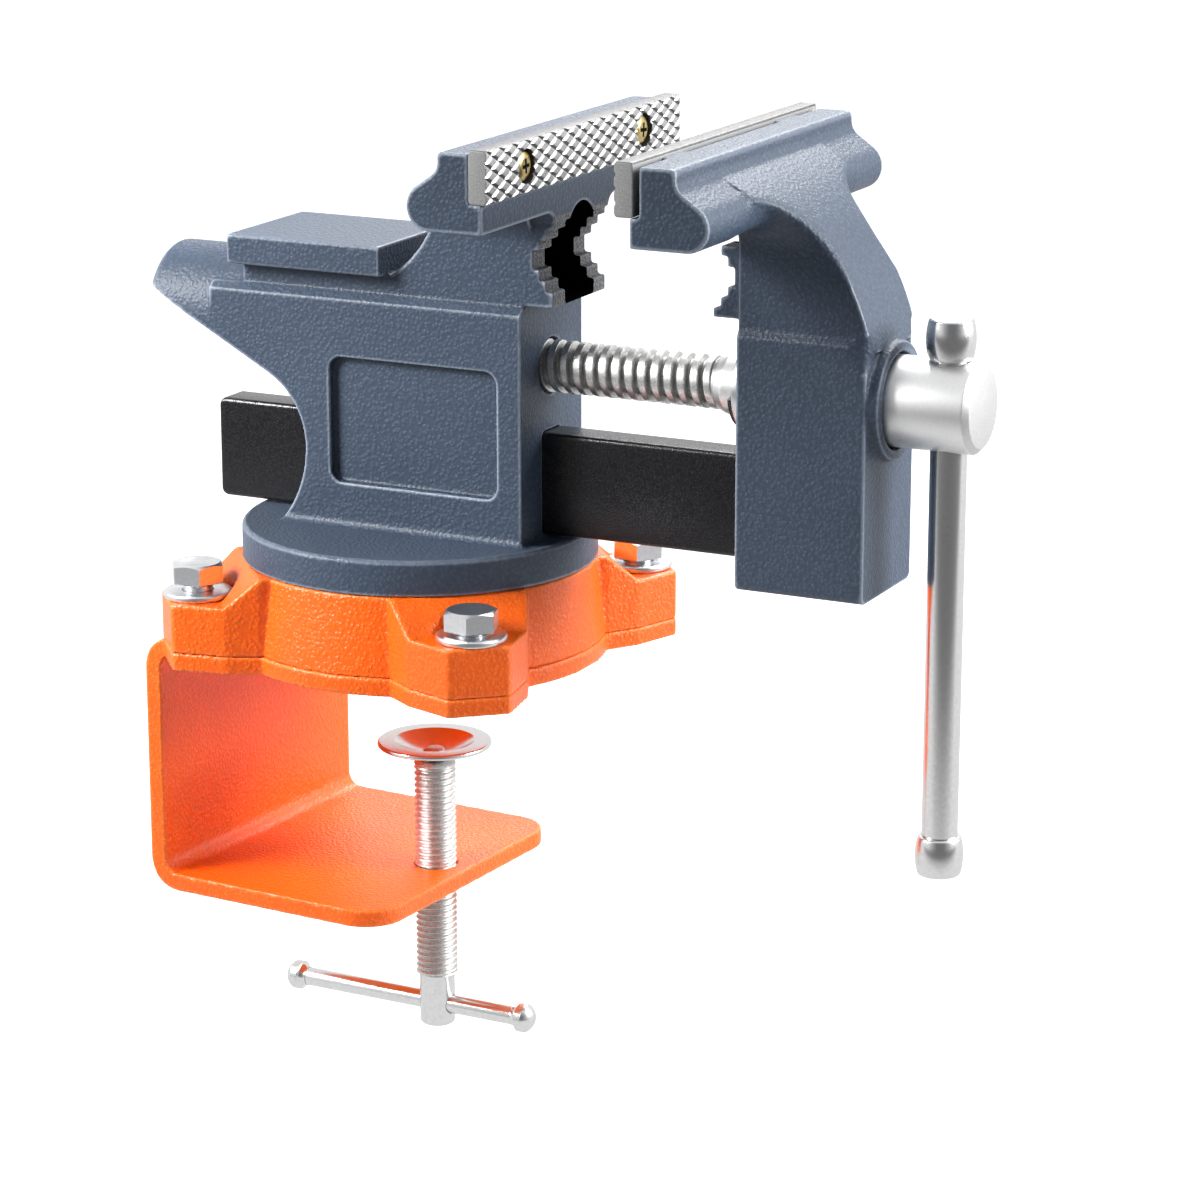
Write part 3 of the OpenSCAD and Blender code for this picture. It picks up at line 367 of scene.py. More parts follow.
# Painted shade: darker steel for the screw head's end face, which faces the right lamp
end_shade_steel = metal("end_shade_steel", grey(0.62), grey(0.54), 0.45, grain=1600.0)
plain_steel = metal("plain_steel", grey(0.5), grey(0.4), 0.36)
jaw_steel = metal("jaw_steel", grey(0.36), grey(0.22), 0.58, grain=2300.0, depth=0.02, metallic=0.8)
# Painted shade: dark steel for the plates' groove walls facing down, groove floors and top faces
painted_shade_steel = metal("painted_shade_steel", grey(0.13), grey(0.07), 0.5)
# Painted light: brighter steel for the upward-facing groove flanks of the plates
painted_light_steel = metal("painted_light_steel", grey(0.56), grey(0.38), 0.45, grain=2300.0)
# Painted shade: near-black for the screw recesses of the plates and the screws' cross cuts
painted_shade_recess = metal("painted_shade_recess", grey(0.012), grey(0.006), 0.6, metallic=0.0)
zinc_plate = metal("zinc_plate", (0.8, 0.81, 0.83), (0.7, 0.71, 0.73), 0.3)
yellow_brass = metal("yellow_brass", (0.6, 0.46, 0.2), (0.46, 0.34, 0.13), 0.3)


# Castings and the bent bracket

def even_copy(node_name, cell, cutters, laid_on):
    """A merged copy of a CAD solid, less its cutters and with closed surfaces laid on, cut into even cells of
    one size; the even cells also join what overlaps."""
    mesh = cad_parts[node_name].data.copy()
    mesh.materials.clear()
    work = bmesh.new()
    work.from_mesh(mesh)
    bmesh.ops.remove_doubles(work, verts=work.verts, dist=1e-6)
    work.to_mesh(mesh)
    work.free()
    if cutters:
        mesh = cut(mesh, cutters)
    if laid_on:
        extra = new_mesh("laid_on", *joined(*laid_on))
        work = bmesh.new()
        work.from_mesh(mesh)
        work.from_mesh(extra)
        work.to_mesh(mesh)
        work.free()
        bpy.data.meshes.remove(extra)
    copy = bpy.data.objects.new("copy", mesh)
    bpy.context.scene.collection.objects.link(copy)
    change = copy.modifiers.new("cells", "REMESH")
    change.mode, change.voxel_size, change.use_smooth_shade = "VOXEL", cell * MM, True
    even = bpy.data.meshes.new_from_object(copy.evaluated_get(bpy.context.evaluated_depsgraph_get()))
    bpy.data.objects.remove(copy)
    bpy.data.meshes.remove(mesh)
    return even


def points_and_edges(mesh):
    """Points of a mesh in metres and the two ends of its edges."""
    points, ends = np.empty(len(mesh.vertices) * 3), np.empty(len(mesh.edges) * 2, int)
    mesh.vertices.foreach_get("co", points)
    mesh.edges.foreach_get("vertices", ends)
    return points.reshape(-1, 3), *ends.reshape(-1, 2).T


def mean_of_neighbours(values, a, b):
    """Mean of the values (rows) at the other ends of each point's edges."""
    many = np.maximum(np.bincount(a, minlength=len(values)) + np.bincount(b, minlength=len(values)), 1)
    total = [np.bincount(a, v[b], len(v)) + np.bincount(b, v[a], len(v)) for v in values.T]
    return np.stack(total, -1) / many[:, None]


def worn_round(mesh, passes, keep=None):
    """Each pass moves a point half of the way to the mean of its neighbours, which rounds edges and leaves
    flats; keep(points in millimetres) gives the share of each pass that a point takes."""
    points, a, b = points_and_edges(mesh)
    share = 0.5 * (np.ones(len(points)) if keep is None else keep(points / MM))
    moving = (share[a] > 0) | (share[b] > 0)
    used, index = np.unique(np.concatenate([a[moving], b[moving]]), return_inverse=True)
    a, b = np.split(index, 2)
    spots = points[used]
    for _ in range(passes):
        spots = spots + (mean_of_neighbours(spots, a, b) - spots) * share[used][:, None]
    points[used] = spots
    mesh.vertices.foreach_set("co", points.ravel())
    mesh.update()


def mark_bends(mesh, cell):
    """Attribute bend: how far a point stands out from the mean of its neighbours along its normal, in cells,
    evened out over its surroundings; it is above 0 on outer edges, below 0 in corners and 0 on flats."""
    points, a, b = points_and_edges(mesh)
    normal = np.empty(len(points) * 3)
    mesh.vertex_normals.foreach_get("vector", normal)
    stands_out = (points - mean_of_neighbours(points, a, b)) * normal.reshape(-1, 3)
    out = stands_out.sum(1, keepdims=True) / (cell * MM)
    for _ in range(BEND_PASSES):
        out = (out + mean_of_neighbours(out, a, b)) / 2
    bend = mesh.attributes.new("bend", "FLOAT", "POINT")
    bend.data.foreach_set("value", out[:, 0].astype(np.float32))


def thinned(mesh):
    """Fewer triangles where a mesh has more than the most that a piece may have."""
    count = sum(len(p.vertices) - 2 for p in mesh.polygons)
    if count <= MOST_TRIANGLES:
        return mesh
    o = bpy.data.objects.new("thin", mesh)
    bpy.context.scene.collection.objects.link(o)
    change = o.modifiers.new("thin", "DECIMATE")
    change.ratio = MOST_TRIANGLES / count
    result = bpy.data.meshes.new_from_object(o.evaluated_get(bpy.context.evaluated_depsgraph_get()))
    bpy.data.objects.remove(o)
    bpy.data.meshes.remove(mesh)
    return result


def face_middles(mesh):
    """Middles in millimetres and normals of a mesh's faces."""
    middle, normal = np.empty(len(mesh.polygons) * 3), np.empty(len(mesh.polygons) * 3)
    mesh.polygons.foreach_get("center", middle)
    mesh.polygons.foreach_get("normal", normal)
    return middle.reshape(-1, 3) / MM, normal.reshape(-1, 3)


def paint_faces(mesh, index):
    """Gives each face the material at its index."""
    mesh.polygons.foreach_set("material_index", index.astype(np.int32))
    mesh.update()


def casting(name, node_name, body, slot, materials, cell, passes, blend=None, paint=None, cutters=(),
            laid_on=()):
    """A cast piece: the CAD solid in even cells, worn round a little everywhere and much more where blend
    says, with its own finish, or painted shade, on some faces."""
    cell = cell * 1
    mesh = even_copy(node_name, cell, cutters, laid_on)
    worn_round(mesh, passes)
    if blend:
        worn_round(mesh, BLEND_PASSES, blend)
    mark_bends(mesh, cell)
    mesh = thinned(mesh)
    piece = place(name, mesh, body, slot, materials, [node_name], sharp=180)
    if paint:
        paint_faces(mesh, paint(*face_middles(mesh)))
    return piece


def inside(points, low, high):
    """Which points lie in a box."""
    return np.all((points > low) & (points < high), axis=1)


def near(points, low, high, fade):
    """1 in a box, falling evenly to 0 at a distance outside it."""
    off = np.maximum(np.maximum(np.array(low) - points, points - np.array(high)), 0)
    return np.clip(1 - np.linalg.norm(off, axis=1) / fade, 0, 1)


def arm_roots(points):
    """The bowed arm runs softly out of the jaw and into the block, alike on both sides."""
    points = np.stack([points[:, 0], np.abs(points[:, 1]), points[:, 2]], -1)
    return np.maximum(near(points, *JAW_ROOT), near(points, *BLOCK_ROOT))


def pipe_jaw_paint(steps, hollow):
    """Rough steps, and a hollow painted black as painted shade, in the boxes of a pipe jaw; the casting's
    sides keep their enamel.
    """
    def paint(middle, normal):
        """Index of the finish of each face."""
        stepped = inside(middle, *steps) & (np.abs(normal[:, 1]) < 0.75)
        # Faces in the hollow take the black of painted shade
        return np.where(inside(middle, *hollow), 2, np.where(stepped, 1, 0))
    return paint


def arch(width, low, high, start, length):
    """Prism along X with an arched roof: the outline is two sides, a floor and a half circle of the same
    width."""
    half = width / 2
    turn = np.linspace(0, math.pi, 25)
    outline = np.concatenate([[(-half, low), (half, low)],
                              np.stack([half * np.cos(turn), high - half + half * np.sin(turn)], -1)])
    ends = [np.column_stack([np.full(len(outline), x), outline]) for x in (start, start + length)]
    return np.concatenate(ends), closed_tube(2, len(outline))


def round_rib(x, radius, thick):
    """Rib of round section carried round the main screw's axis at one x."""
    t = np.linspace(0, 2 * math.pi, 16, endpoint=False)
    section = np.stack([x + thick * np.cos(t), radius + thick * np.sin(t)], -1)
    return turned(section, (0, 0, SCREW_Z), (1, 0, 0), 128, True)


cast_finishes = [blue_grey_enamel, rough_casting, painted_shade_hollow]
# The hollow of the fixed pipe jaw reaches up to just under the plate
casting("fixed_jaw_casting", "fixed_jaw_body", "vise_body", "grey_enamel", cast_finishes, JAW_CELL, 3,
        paint=pipe_jaw_paint(FIXED_STEPS, FIXED_HOLLOW),
        cutters=[arch(width=15.8, low=108, high=126.2, start=32, length=20)])
# A rib is laid on the rim of the boss round the main screw
casting("moving_jaw_casting", "moving_jaw_body", "moving_jaw", "grey_enamel", cast_finishes, JAW_CELL, 4,
        arm_roots, pipe_jaw_paint(MOVING_STEPS, MOVING_HOLLOW),
        laid_on=[round_rib(x=BLOCK_END + BOSS_HIGH - 0.35, radius=13.6, thick=0.75)])
casting("swivel_base_casting", "swivel_base", "bench_clamp", "orange_enamel", [orange_enamel], BASE_CELL, 3)
casting("bent_bracket", "clamp_bracket", "bench_clamp", "orange_enamel", [orange_enamel], BASE_CELL, 2)


# Jaw plates and their screws

def groove_depth(y, z):
    """Crosshatch: two families of V grooves along the diagonals of the diamonds; the depth falls off evenly
    from each groove's line to its shoulder, and the deeper family counts."""
    apart = DIAMOND_WIDE * DIAMOND_HIGH / math.hypot(DIAMOND_WIDE, DIAMOND_HIGH)
    deep = np.zeros(np.broadcast(y, z).shape)
    for sign in (1, -1):
        lattice = y / DIAMOND_WIDE + sign * (z - PLATE_LOW) / DIAMOND_HIGH
        off = np.abs((lattice + 0.5) % 1.0 - 0.5) * apart
        deep = np.maximum(deep, 1 - off / (GROOVE_WIDE / 2))
    return GROOVE_DEEP * np.clip(deep, 0, 1)


def jaw_plate(name, node_name, body, face, outward):
    """Plate as a rounded section carried along Y: the depth under the gripping face is the larger of the
    section's own and the crosshatch's, and the section shrinks at both ends by the rounding of the rim.
    outward is 1 for a plate that faces +X and -1 for one that faces -X."""
    corner, rim = PLATE_CORNER, PLATE_RIM
    step = DIAMOND_HIGH / 16
    middle = (PLATE_LOW + PLATE_HIGH) / 2
    half_d, half_z = PLATE_THICK / 2, (PLATE_HIGH - PLATE_LOW) / 2
    quarter = np.linspace(0, math.pi / 2, 7)
    front = np.arange(-half_z + corner, half_z - corner, step)
    arcs = [(-half_d + corner, half_z - corner, math.pi), (half_d - corner, half_z - corner, math.pi / 2),
            (half_d - corner, -half_z + corner, 0), (-half_d + corner, -half_z + corner, -math.pi / 2)]
    outline = [np.stack([np.full_like(front, -half_d), front], -1)]
    for cd, cz, start in arcs:
        turn = start - quarter
        outline.append(np.stack([cd + corner * np.cos(turn), cz + corner * np.sin(turn)], -1))
    outline = np.concatenate(outline)
    lengthways = np.concatenate([-JAW_WIDTH / 2 + rim * (1 - np.cos(quarter[:-1])),
                                 np.arange(-JAW_WIDTH / 2 + rim, JAW_WIDTH / 2 - rim, step),
                                 JAW_WIDTH / 2 - rim * (1 - np.cos(quarter[::-1]))])
    shrink = np.zeros(len(lengthways))
    shrink[:6] = rim * (1 - np.sin(quarter[:-1]))
    shrink[-7:] = rim * (1 - np.sin(quarter[::-1]))
    scale_d, scale_z = 1 - shrink / half_d, 1 - shrink / half_z
    d = half_d + outline[None, :, 0] * scale_d[:, None]
    z = middle + outline[None, :, 1] * scale_z[:, None]
    y = np.repeat(lengthways[:, None], len(outline), 1)
    d = np.maximum(d, np.where(d < PLATE_THICK / 2, groove_depth(y, z), 0))
    points = np.stack([face - outward * d, y, z], -1).reshape(-1, 3)
    mesh = new_mesh(name, points, closed_tube(len(lengthways), len(outline)))
    holes = [turned([(-1, 0), (-1, RECESS_R), (RECESS_DEPTH, RECESS_R), (RECESS_DEPTH, 0)],
                    (face, side * PLATE_SCREW_Y, PLATE_SCREW_Z), (-outward, 0, 0), 64) for side in (-1, 1)]
    mesh = cut(mesh, holes)
    place(name, mesh, body, "jaw_steel", [jaw_steel, painted_shade_recess, painted_shade_steel, painted_light_steel], [node_name],
          sharp=25)
    # Painted shade on the grooves' downward walls and floors and on the top edge, painted light on the upper
    # flanks, painted shade in the recesses round the screws
    spot, normal = face_middles(mesh)
    deep = (face - spot[:, 0]) * outward
    off = np.hypot(np.abs(spot[:, 1]) - PLATE_SCREW_Y, spot[:, 2] - PLATE_SCREW_Z)
    in_groove = (deep > 0.05) & (deep < GROOVE_DEEP + 0.1) & (np.abs(spot[:, 2] - middle) < half_z - 0.3)
    # Painted shade: groove walls facing down and the groove floors
    shaded = in_groove & ((normal[:, 2] < -0.2) | (deep > GROOVE_DEEP - 0.1))
    # Painted light: groove flanks facing up
    lit = in_groove & (normal[:, 2] > 0.2) & ~shaded
    # Painted shade: the recesses round the screws are painted black
    recess = (off < RECESS_R + 0.05) & (deep > 0.3) & (deep < RECESS_DEPTH + 0.1)
    # Painted shade: the plate's upward faces outside the grooves take the dark steel
    shade_painted_top = (normal[:, 2] > 0.35) & ~in_groove
    paint_faces(mesh, np.select([recess, shaded | shade_painted_top, lit], [1, 2, 3], 0))


def plate_screws(name, node_name, body, face, outward):
    """Pan-head screws turned on the lathe, with a tapered cross cut into each head; each stands at its own
    angle."""
    high, wide, shank, end = 2.2, 4.0, 2.5, 11.2
    profile = softened([(0, 0), (0.05, 2.3, 1.5), (0.6, 3.7, 0.6), (1.5, wide, 0.3), (high, wide, 0.1),
                        (high, shank), (end - 0.6, shank, 0.3), (end, shank - 0.6), (end, 0)])
    cross = ((-1.0, 2.1, 0.55), (0.2, 1.9, 0.48), (1.7, 0.8, 0.3))
    start = RECESS_DEPTH - high
    parts = []
    for side, lean in ((-1, 4), (1, -5)):
        origin = (face - outward * start, side * PLATE_SCREW_Y, PLATE_SCREW_Z)
        mesh = new_mesh("screw", *turned(profile, origin, (-outward, 0, 0), 64))
        cutters = []
        for turn in (0, 90):
            a = math.radians(turn + lean)
            long_way = np.array([0, math.cos(a), math.sin(a)])
            short_way = np.array([0, -math.sin(a), math.cos(a)])
            corners = []
            for depth, length, width in cross:
                base = np.array(origin) + depth * np.array([-outward, 0, 0])
                corners += [base + i * length * long_way + j * width * short_way
                            for i, j in ((-1, -1), (1, -1), (1, 1), (-1, 1))]
            sides = list(grid_faces(len(cross), 4, False, True))
            cutters.append((np.array(corners), [[0, 1, 2, 3], [8, 9, 10, 11]] + sides))
        mesh = cut(mesh, cutters)
        parts.append((points_and_edges(mesh)[0] / MM, [list(p.vertices) for p in mesh.polygons]))
    mesh = new_mesh(name, *joined(*parts))
    place(name, mesh, body, "brass", [yellow_brass, painted_shade_recess], [node_name], sharp=30)
    spot, normal = face_middles(mesh)
    deep = (face - spot[:, 0]) * outward - start
    off = np.hypot(np.abs(spot[:, 1]) - PLATE_SCREW_Y, spot[:, 2] - PLATE_SCREW_Z)
    # Painted shade: the walls and floor of each cross cut take the black recess finish
    in_cross = (off < 2.9) & (deep < 1.9) & ((np.abs(normal[:, 0]) < 0.6) | (deep > 0.8))
    paint_faces(mesh, in_cross)


jaw_plate("fixed_crosshatched_plate", "fixed_jaw_plate", "vise_body", FIXED_FACE, 1)
jaw_plate("moving_crosshatched_plate", "moving_jaw_plate", "moving_jaw", MOVING_FACE, -1)
plate_screws("fixed_plate_brass_screws", "fixed_plate_screws", "vise_body", FIXED_FACE, 1)
plate_screws("moving_plate_brass_screws", "moving_plate_screws", "moving_jaw", MOVING_FACE, -1)


# Main screw with its ring, washer and tommy bar

def square_thread(phase):
    """Trapezoid: full depth in the middle third of a pitch, none over the outer half, steep smooth flanks
    between."""
    off = np.abs(phase - 0.5) * 2
    rise = np.clip((off - 0.36) / 0.14, 0, 1)
    return THREAD_DEEP * (1 - rise * rise * (3 - 2 * rise))


def sharp_thread(phase):
    """Rounded V thread: the depth follows a raised cosine."""
    return CLAMP_THREAD_DEEP * (0.5 + 0.5 * np.cos(2 * math.pi * phase))


on_screw = (0, 0, SCREW_Z)
point = [(SCREW_START, 0), (SCREW_START, 5.2), (SCREW_START + 0.3, 5.5), (SCREW_START + 1.5, THREAD_R)]
thread = threaded(point, SCREW_START + 1.5, CONE_X, MAIN_PITCH, square_thread, THREAD_R, [(CONE_X, 0)],
                  on_screw, (1, 0, 0), 96, 24)
mesh = new_mesh("main_screw_thread", *thread)
place("main_screw_thread", mesh, "lead_screw", "satin_steel", [thread_steel, root_shade_steel], ["main_screw"],
      sharp=60)
spot, _ = face_middles(mesh)
# Painted shade: faces deep in the thread take the darker steel
paint_faces(mesh, np.hypot(spot[:, 1], spot[:, 2] - SCREW_Z) < THREAD_R - 0.75 * THREAD_DEEP)

head = softened([(CONE_X - 0.2, 0), (CONE_X - 0.2, 6.9), (CONE_X, THREAD_R), (CONE_X + 2.4, JOURNAL_R, 2.0),
                 (HEAD_X - 2.2, JOURNAL_R, 1.0), (HEAD_X, JOURNAL_R + 0.3), (HEAD_X, HEAD_R, 0.6),
                 (SCREW_END - 2.1, HEAD_R, 0.35), (SCREW_END - 0.55, HEAD_R - 1.7, 0.4),
                 (SCREW_END - 0.3, 7.2, 3.0), (SCREW_END, 2.4, 3.0), (SCREW_END, 0)])
mesh = new_mesh("main_screw_head", *turned(head, on_screw, (1, 0, 0), 128))
hole = turned([(-20, 0), (-20, TOMMY_HOLE_R), (20, TOMMY_HOLE_R), (20, 0)], (TOMMY_X, 0, SCREW_Z),
              (0, 0, 1), 64)
mesh = cut(mesh, [hole])
place("main_screw_head", mesh, "lead_screw", "satin_steel", [head_steel, end_shade_steel], ["main_screw"],
      sharp=35)
spot, normal = face_middles(mesh)
# Painted shade: the end face takes a darker steel than the head's side
paint_faces(mesh, (normal[:, 0] > 0.6) & (spot[:, 0] > SCREW_END - 3))


def open_ring():
    """Retaining ring: a rounded section carried round most of a circle, with a closed end at each side of its
    gap."""
    inner = JOURNAL_R - 0.9
    section = softened([(0, inner, 0.3), (CLIP_THICK, inner, 0.3), (CLIP_THICK, CLIP_R, 0.5),
                        (0, CLIP_R, 0.5)], closed=True)
    t = np.radians(np.linspace(190, 440, 90))
    s, r = section.T
    points = np.stack([np.repeat((CLIP_X + s)[None], len(t), 0), r * np.cos(t)[:, None],
                       SCREW_Z + r * np.sin(t)[:, None]], -1)
    return points.reshape(-1, 3), closed_tube(len(t), len(section))


place("retaining_ring", new_mesh("retaining_ring", *open_ring()), "lead_screw", "black_finish", black_paint,
      ["retaining_clip"])
washer_end, washer_hole = WASHER_X + WASHER_THICK, JOURNAL_R + 0.1
ring = softened([(WASHER_X, washer_hole, 0.2), (WASHER_X, WASHER_R, 0.4), (washer_end, WASHER_R, 0.4),
                 (washer_end, washer_hole, 0.2)], closed=True)
place("thrust_ring", new_mesh("thrust_ring", *turned(ring, on_screw, (1, 0, 0), 96, True)), "moving_jaw",
      "zinc", zinc_plate, ["thrust_washer"])

rod = softened([(TOMMY_LOW, 0), (TOMMY_LOW, TOMMY_R, 0.3), (TOMMY_HIGH, TOMMY_R, 0.3), (TOMMY_HIGH, 0)])
place("tommy_rod", new_mesh("tommy_rod", *turned(rod, (TOMMY_X, 0, 0))), "handle_bar", "satin_steel",
      satin_steel, ["tommy_bar"])


def barrel(end, way):
    """Barrel knob: its radius follows an arc, widest half way, between a small bevel at the rod and a flat
    end; way is 1 upwards and -1 downwards."""
    s = np.linspace(0.5, KNOB_LENGTH - 0.9, 26)
    middle = KNOB_LENGTH / 2
    bow = KNOB_R - (KNOB_R - KNOB_END_R) * ((s - middle) / middle) ** 2
    turn = np.linspace(0, math.pi / 2, 8)[1:]
    edge = np.stack([s[-1] + 0.9 * np.sin(turn), bow[-1] - 0.9 * (1 - np.cos(turn))], -1)
    rows = np.concatenate([[(0, 0), (0, KNOB_END_R - 0.45), (0.1, KNOB_END_R - 0.15)], np.stack([s, bow], -1),
                           edge, [(KNOB_LENGTH, 0)]])
    rows[:, 0] = end + way * rows[:, 0]
    return rows


for name, node_name, end, way in (("tommy_top_barrel", "tommy_knob_top", TOMMY_HIGH, 1),
                                  ("tommy_low_barrel", "tommy_knob_bottom", TOMMY_LOW, -1)):
    place(name, new_mesh(name, *turned(barrel(end, way), (TOMMY_X, 0, 0))), "handle_bar", "satin_steel",
          satin_steel, [node_name])


def flat_bar():
    """Slide bar: a rectangle with round corners carried along X; at both ends its height shrinks by the
    circle of the end corners and its thickness by the circle of a small bevel."""
    rim = 0.5
    turn = np.linspace(0, math.pi / 2, 12)
    from_end = BAR_CORNER * (1 - np.cos(turn))
    corner = BAR_CORNER * (1 - np.sin(turn))
    bevel = rim - np.sqrt(np.maximum(rim ** 2 - np.maximum(rim - from_end, 0) ** 2, 0))
    x = np.concatenate([BAR_X[0] + from_end, BAR_X[1] - from_end[::-1]])
    rows = []
    for i, c in zip(np.concatenate([bevel, bevel[::-1]]), np.concatenate([corner, corner[::-1]])):
        y, low, high, r = BAR_Y - i, BAR_Z[0] + c, BAR_Z[1] - c, 1.2 - i
        rows.append(softened([(-y, low, r), (y, low, r), (y, high, r), (-y, high, r)], True))
    rows = np.array(rows)
    count = rows.shape[1]
    points = np.concatenate([np.repeat(x[:, None, None], count, 1), rows], -1).reshape(-1, 3)
    return points, closed_tube(len(x), count)


place("black_flat_bar", new_mesh("black_flat_bar", *flat_bar()), "moving_jaw", "black_finish", black_paint,
      ["slide_bar"])


# Bolts and washers of the base

def hex_bolt(centre, turn, lift):
    """Hexagon head: at angle t the side lies at half the flats / cos(t off the nearest flat); the top is
    bevelled where the hexagon reaches past a circle, so the bevel's height follows the same angle."""
    t = np.arange(96) * 2 * math.pi / 96
    off = (t + math.pi / 6) % (math.pi / 3) - math.pi / 6
    edge = HALF_FLATS / np.cos(off)
    top, dish, dish_deep = HALF_FLATS - 0.4, 4.4, 0.18
    drop = np.maximum(edge - top, 0) * 0.55
    low = LAND_Z + FLAT_WASHER_THICK + lift
    high = low + BOLT_HEAD_HIGH
    rows = [(low, 0 * t), (low, edge - 0.3), (low + 0.3, edge), (high - drop, edge), (high, top + 0 * t),
            (high, dish + 0 * t), (high - dish_deep, dish - 0.5 + 0 * t), (high - dish_deep, 0 * t)]
    z = np.stack([np.broadcast_to(r[0], t.shape) for r in rows])
    r = np.stack([row[1] for row in rows])
    points = np.stack([centre[0] + r * np.cos(t + turn), centre[1] + r * np.sin(t + turn), z], -1)
    return points.reshape(-1, 3), grid_faces(len(rows), len(t), False, True)


bolts, washers = [], []
for i, (lift, own_turn) in enumerate(zip(BOLT_LIFTS, BOLT_TURNS)):
    angle = math.radians(45 + 90 * i) + BASE_TURN
    spot = (BOLT_CIRCLE_R * math.cos(angle), BOLT_CIRCLE_R * math.sin(angle))
    bolts.append(hex_bolt(spot, angle + math.radians(own_turn - 30), lift))
    neck = LAND_Z + 2 + lift
    shank = [(0.3, 0), (0.3, SHANK_R - 0.6), (0.9, SHANK_R), (neck, SHANK_R), (neck, 0)]
    bolts.append(turned(shank, (*spot, 0), (0, 0, 1), 48))
    over = LAND_Z + FLAT_WASHER_THICK
    washer = softened([(LAND_Z, FLAT_WASHER_HOLE_R, 0.2), (LAND_Z, FLAT_WASHER_R, 0.5),
                       (over, FLAT_WASHER_R, 0.7), (over, FLAT_WASHER_HOLE_R, 0.2)], closed=True)
    washers.append(turned(washer, (*spot, 0), (0, 0, 1), 96, True))
place("hex_bolts", new_mesh("hex_bolts", *joined(*bolts)), "bench_clamp", "zinc", zinc_plate, ["base_bolts"],
      sharp=25)
place("flat_washers", new_mesh("flat_washers", *joined(*washers)), "bench_clamp", "zinc", zinc_plate,
      ["base_washers"])


# Clamp screw, pad and T-bar

on_clamp = (*CLAMP_AXIS, 0)
# The top end is swaged over the floor of the pad
swage = [(CLAMP_TOP, CLAMP_THREAD_R - 1), (CLAMP_TOP, SWAGE_R), (SWAGE_Z, SWAGE_R), (SWAGE_Z, SWAGE_R + 0.75),
         (SWAGE_Z + 0.6, SWAGE_R + 0.6), (SWAGE_Z + 1.2, SWAGE_R - 0.1), (SWAGE_Z + 1.4, SWAGE_R - 1.1),
         (SWAGE_Z + 1.4, 0)]
thread = threaded([(CLAMP_THREAD_LOW, 0)], CLAMP_THREAD_LOW, CLAMP_TOP - 1.0, CLAMP_PITCH, sharp_thread,
                  CLAMP_THREAD_R, swage, on_clamp, (0, 0, 1), 72, 12)
place("clamp_screw_thread", new_mesh("clamp_screw_thread", *thread), "clamp_spindle", "satin_steel",
      thread_steel, ["clamp_screw"], sharp=60)
tail = softened([(CLAMP_END, 0), (CLAMP_END, CLAMP_END_R, 1.1), (CLAMP_THREAD_LOW - 0.4, CLAMP_END_R, 0.3),
                 (CLAMP_THREAD_LOW + 0.4, CLAMP_END_R - 0.25), (CLAMP_THREAD_LOW + 0.4, 0)])
mesh = new_mesh("clamp_screw_end", *turned(tail, on_clamp, (0, 0, 1), 96))
hole = turned([(-15, 0), (-15, T_BAR_HOLE_R), (15, T_BAR_HOLE_R), (15, 0)], (*CLAMP_AXIS, T_BAR_Z),
              T_BAR_AXIS, 48)
place("clamp_screw_end", cut(mesh, [hole]), "clamp_spindle", "satin_steel", satin_steel, ["clamp_screw"])

t_bar_middle = np.array((*CLAMP_AXIS, T_BAR_Z)) + T_BAR_SHIFT * np.array(T_BAR_AXIS)
rod = softened([(-T_BAR_HALF, 0), (-T_BAR_HALF, T_BAR_R, 0.2), (T_BAR_HALF, T_BAR_R, 0.2), (T_BAR_HALF, 0)])
place("t_rod", new_mesh("t_rod", *turned(rod, t_bar_middle, T_BAR_AXIS, 64)), "clamp_handle", "satin_steel",
      satin_steel, ["t_bar"])


def domed(way):
    """Knob of the T-bar: a neck that flares from the rod along a quarter of an ellipse, a short straight
    waist and a shallow dome; way is 1 or -1 along the bar."""
    wide, waist = 4.1, (2.6, 4.2)
    turn = np.linspace(0, math.pi / 2, 14)
    flare = np.stack([2.1 * np.sin(turn), T_BAR_HOLE_R + (wide - T_BAR_HOLE_R) * (1 - np.cos(turn))], -1)
    turn = np.linspace(1.0, 0, 12)
    dome = np.stack([DOME_END - DOME_R + DOME_R * np.cos(turn), DOME_R * np.sin(turn)], -1)
    side = softened([(waist[0], wide), (waist[1], wide, 0.6), tuple(dome[1])])
    rows = np.concatenate([[(0, 0)], flare, side, dome[2:]])
    rows[:, 0] = way * (T_BAR_HALF + rows[:, 0])
    return rows


for name, node_name, way in (("t_bar_left_dome", "t_bar_knob_left", -1),
                             ("t_bar_right_dome", "t_bar_knob_right", 1)):
    place(name, new_mesh(name, *turned(domed(way), t_bar_middle, T_BAR_AXIS, 64)), "clamp_handle",
          "satin_steel", satin_steel, [node_name])


def dished_pad():
    """Pressed pad: a bowl of one radius and one thickness whose edge turns out into a flat rim."""
    drop = PAD_HEIGHT - PAD_WALL
    bowl = (DISH_R ** 2 + drop ** 2) / (2 * drop)
    r = np.linspace(SWAGE_R + 0.08, DISH_R, 24)
    under = np.stack([bowl - np.sqrt(bowl ** 2 - r ** 2), r], -1)
    over = under[::-1] + (PAD_WALL, 0)
    rim = softened([tuple(under[-1]), (drop, PAD_R, 0.5), (PAD_HEIGHT, PAD_R, 0.6), tuple(over[0])])
    section = np.concatenate([under[:-1], rim, over[1:]])
    return turned(section, (*CLAMP_AXIS, PAD_FLOOR), (0, 0, 1), 96, True)


place("dished_pad", new_mesh("dished_pad", *dished_pad()), "pad", "satin_steel", satin_steel, ["clamp_pad"],
      sharp=35)

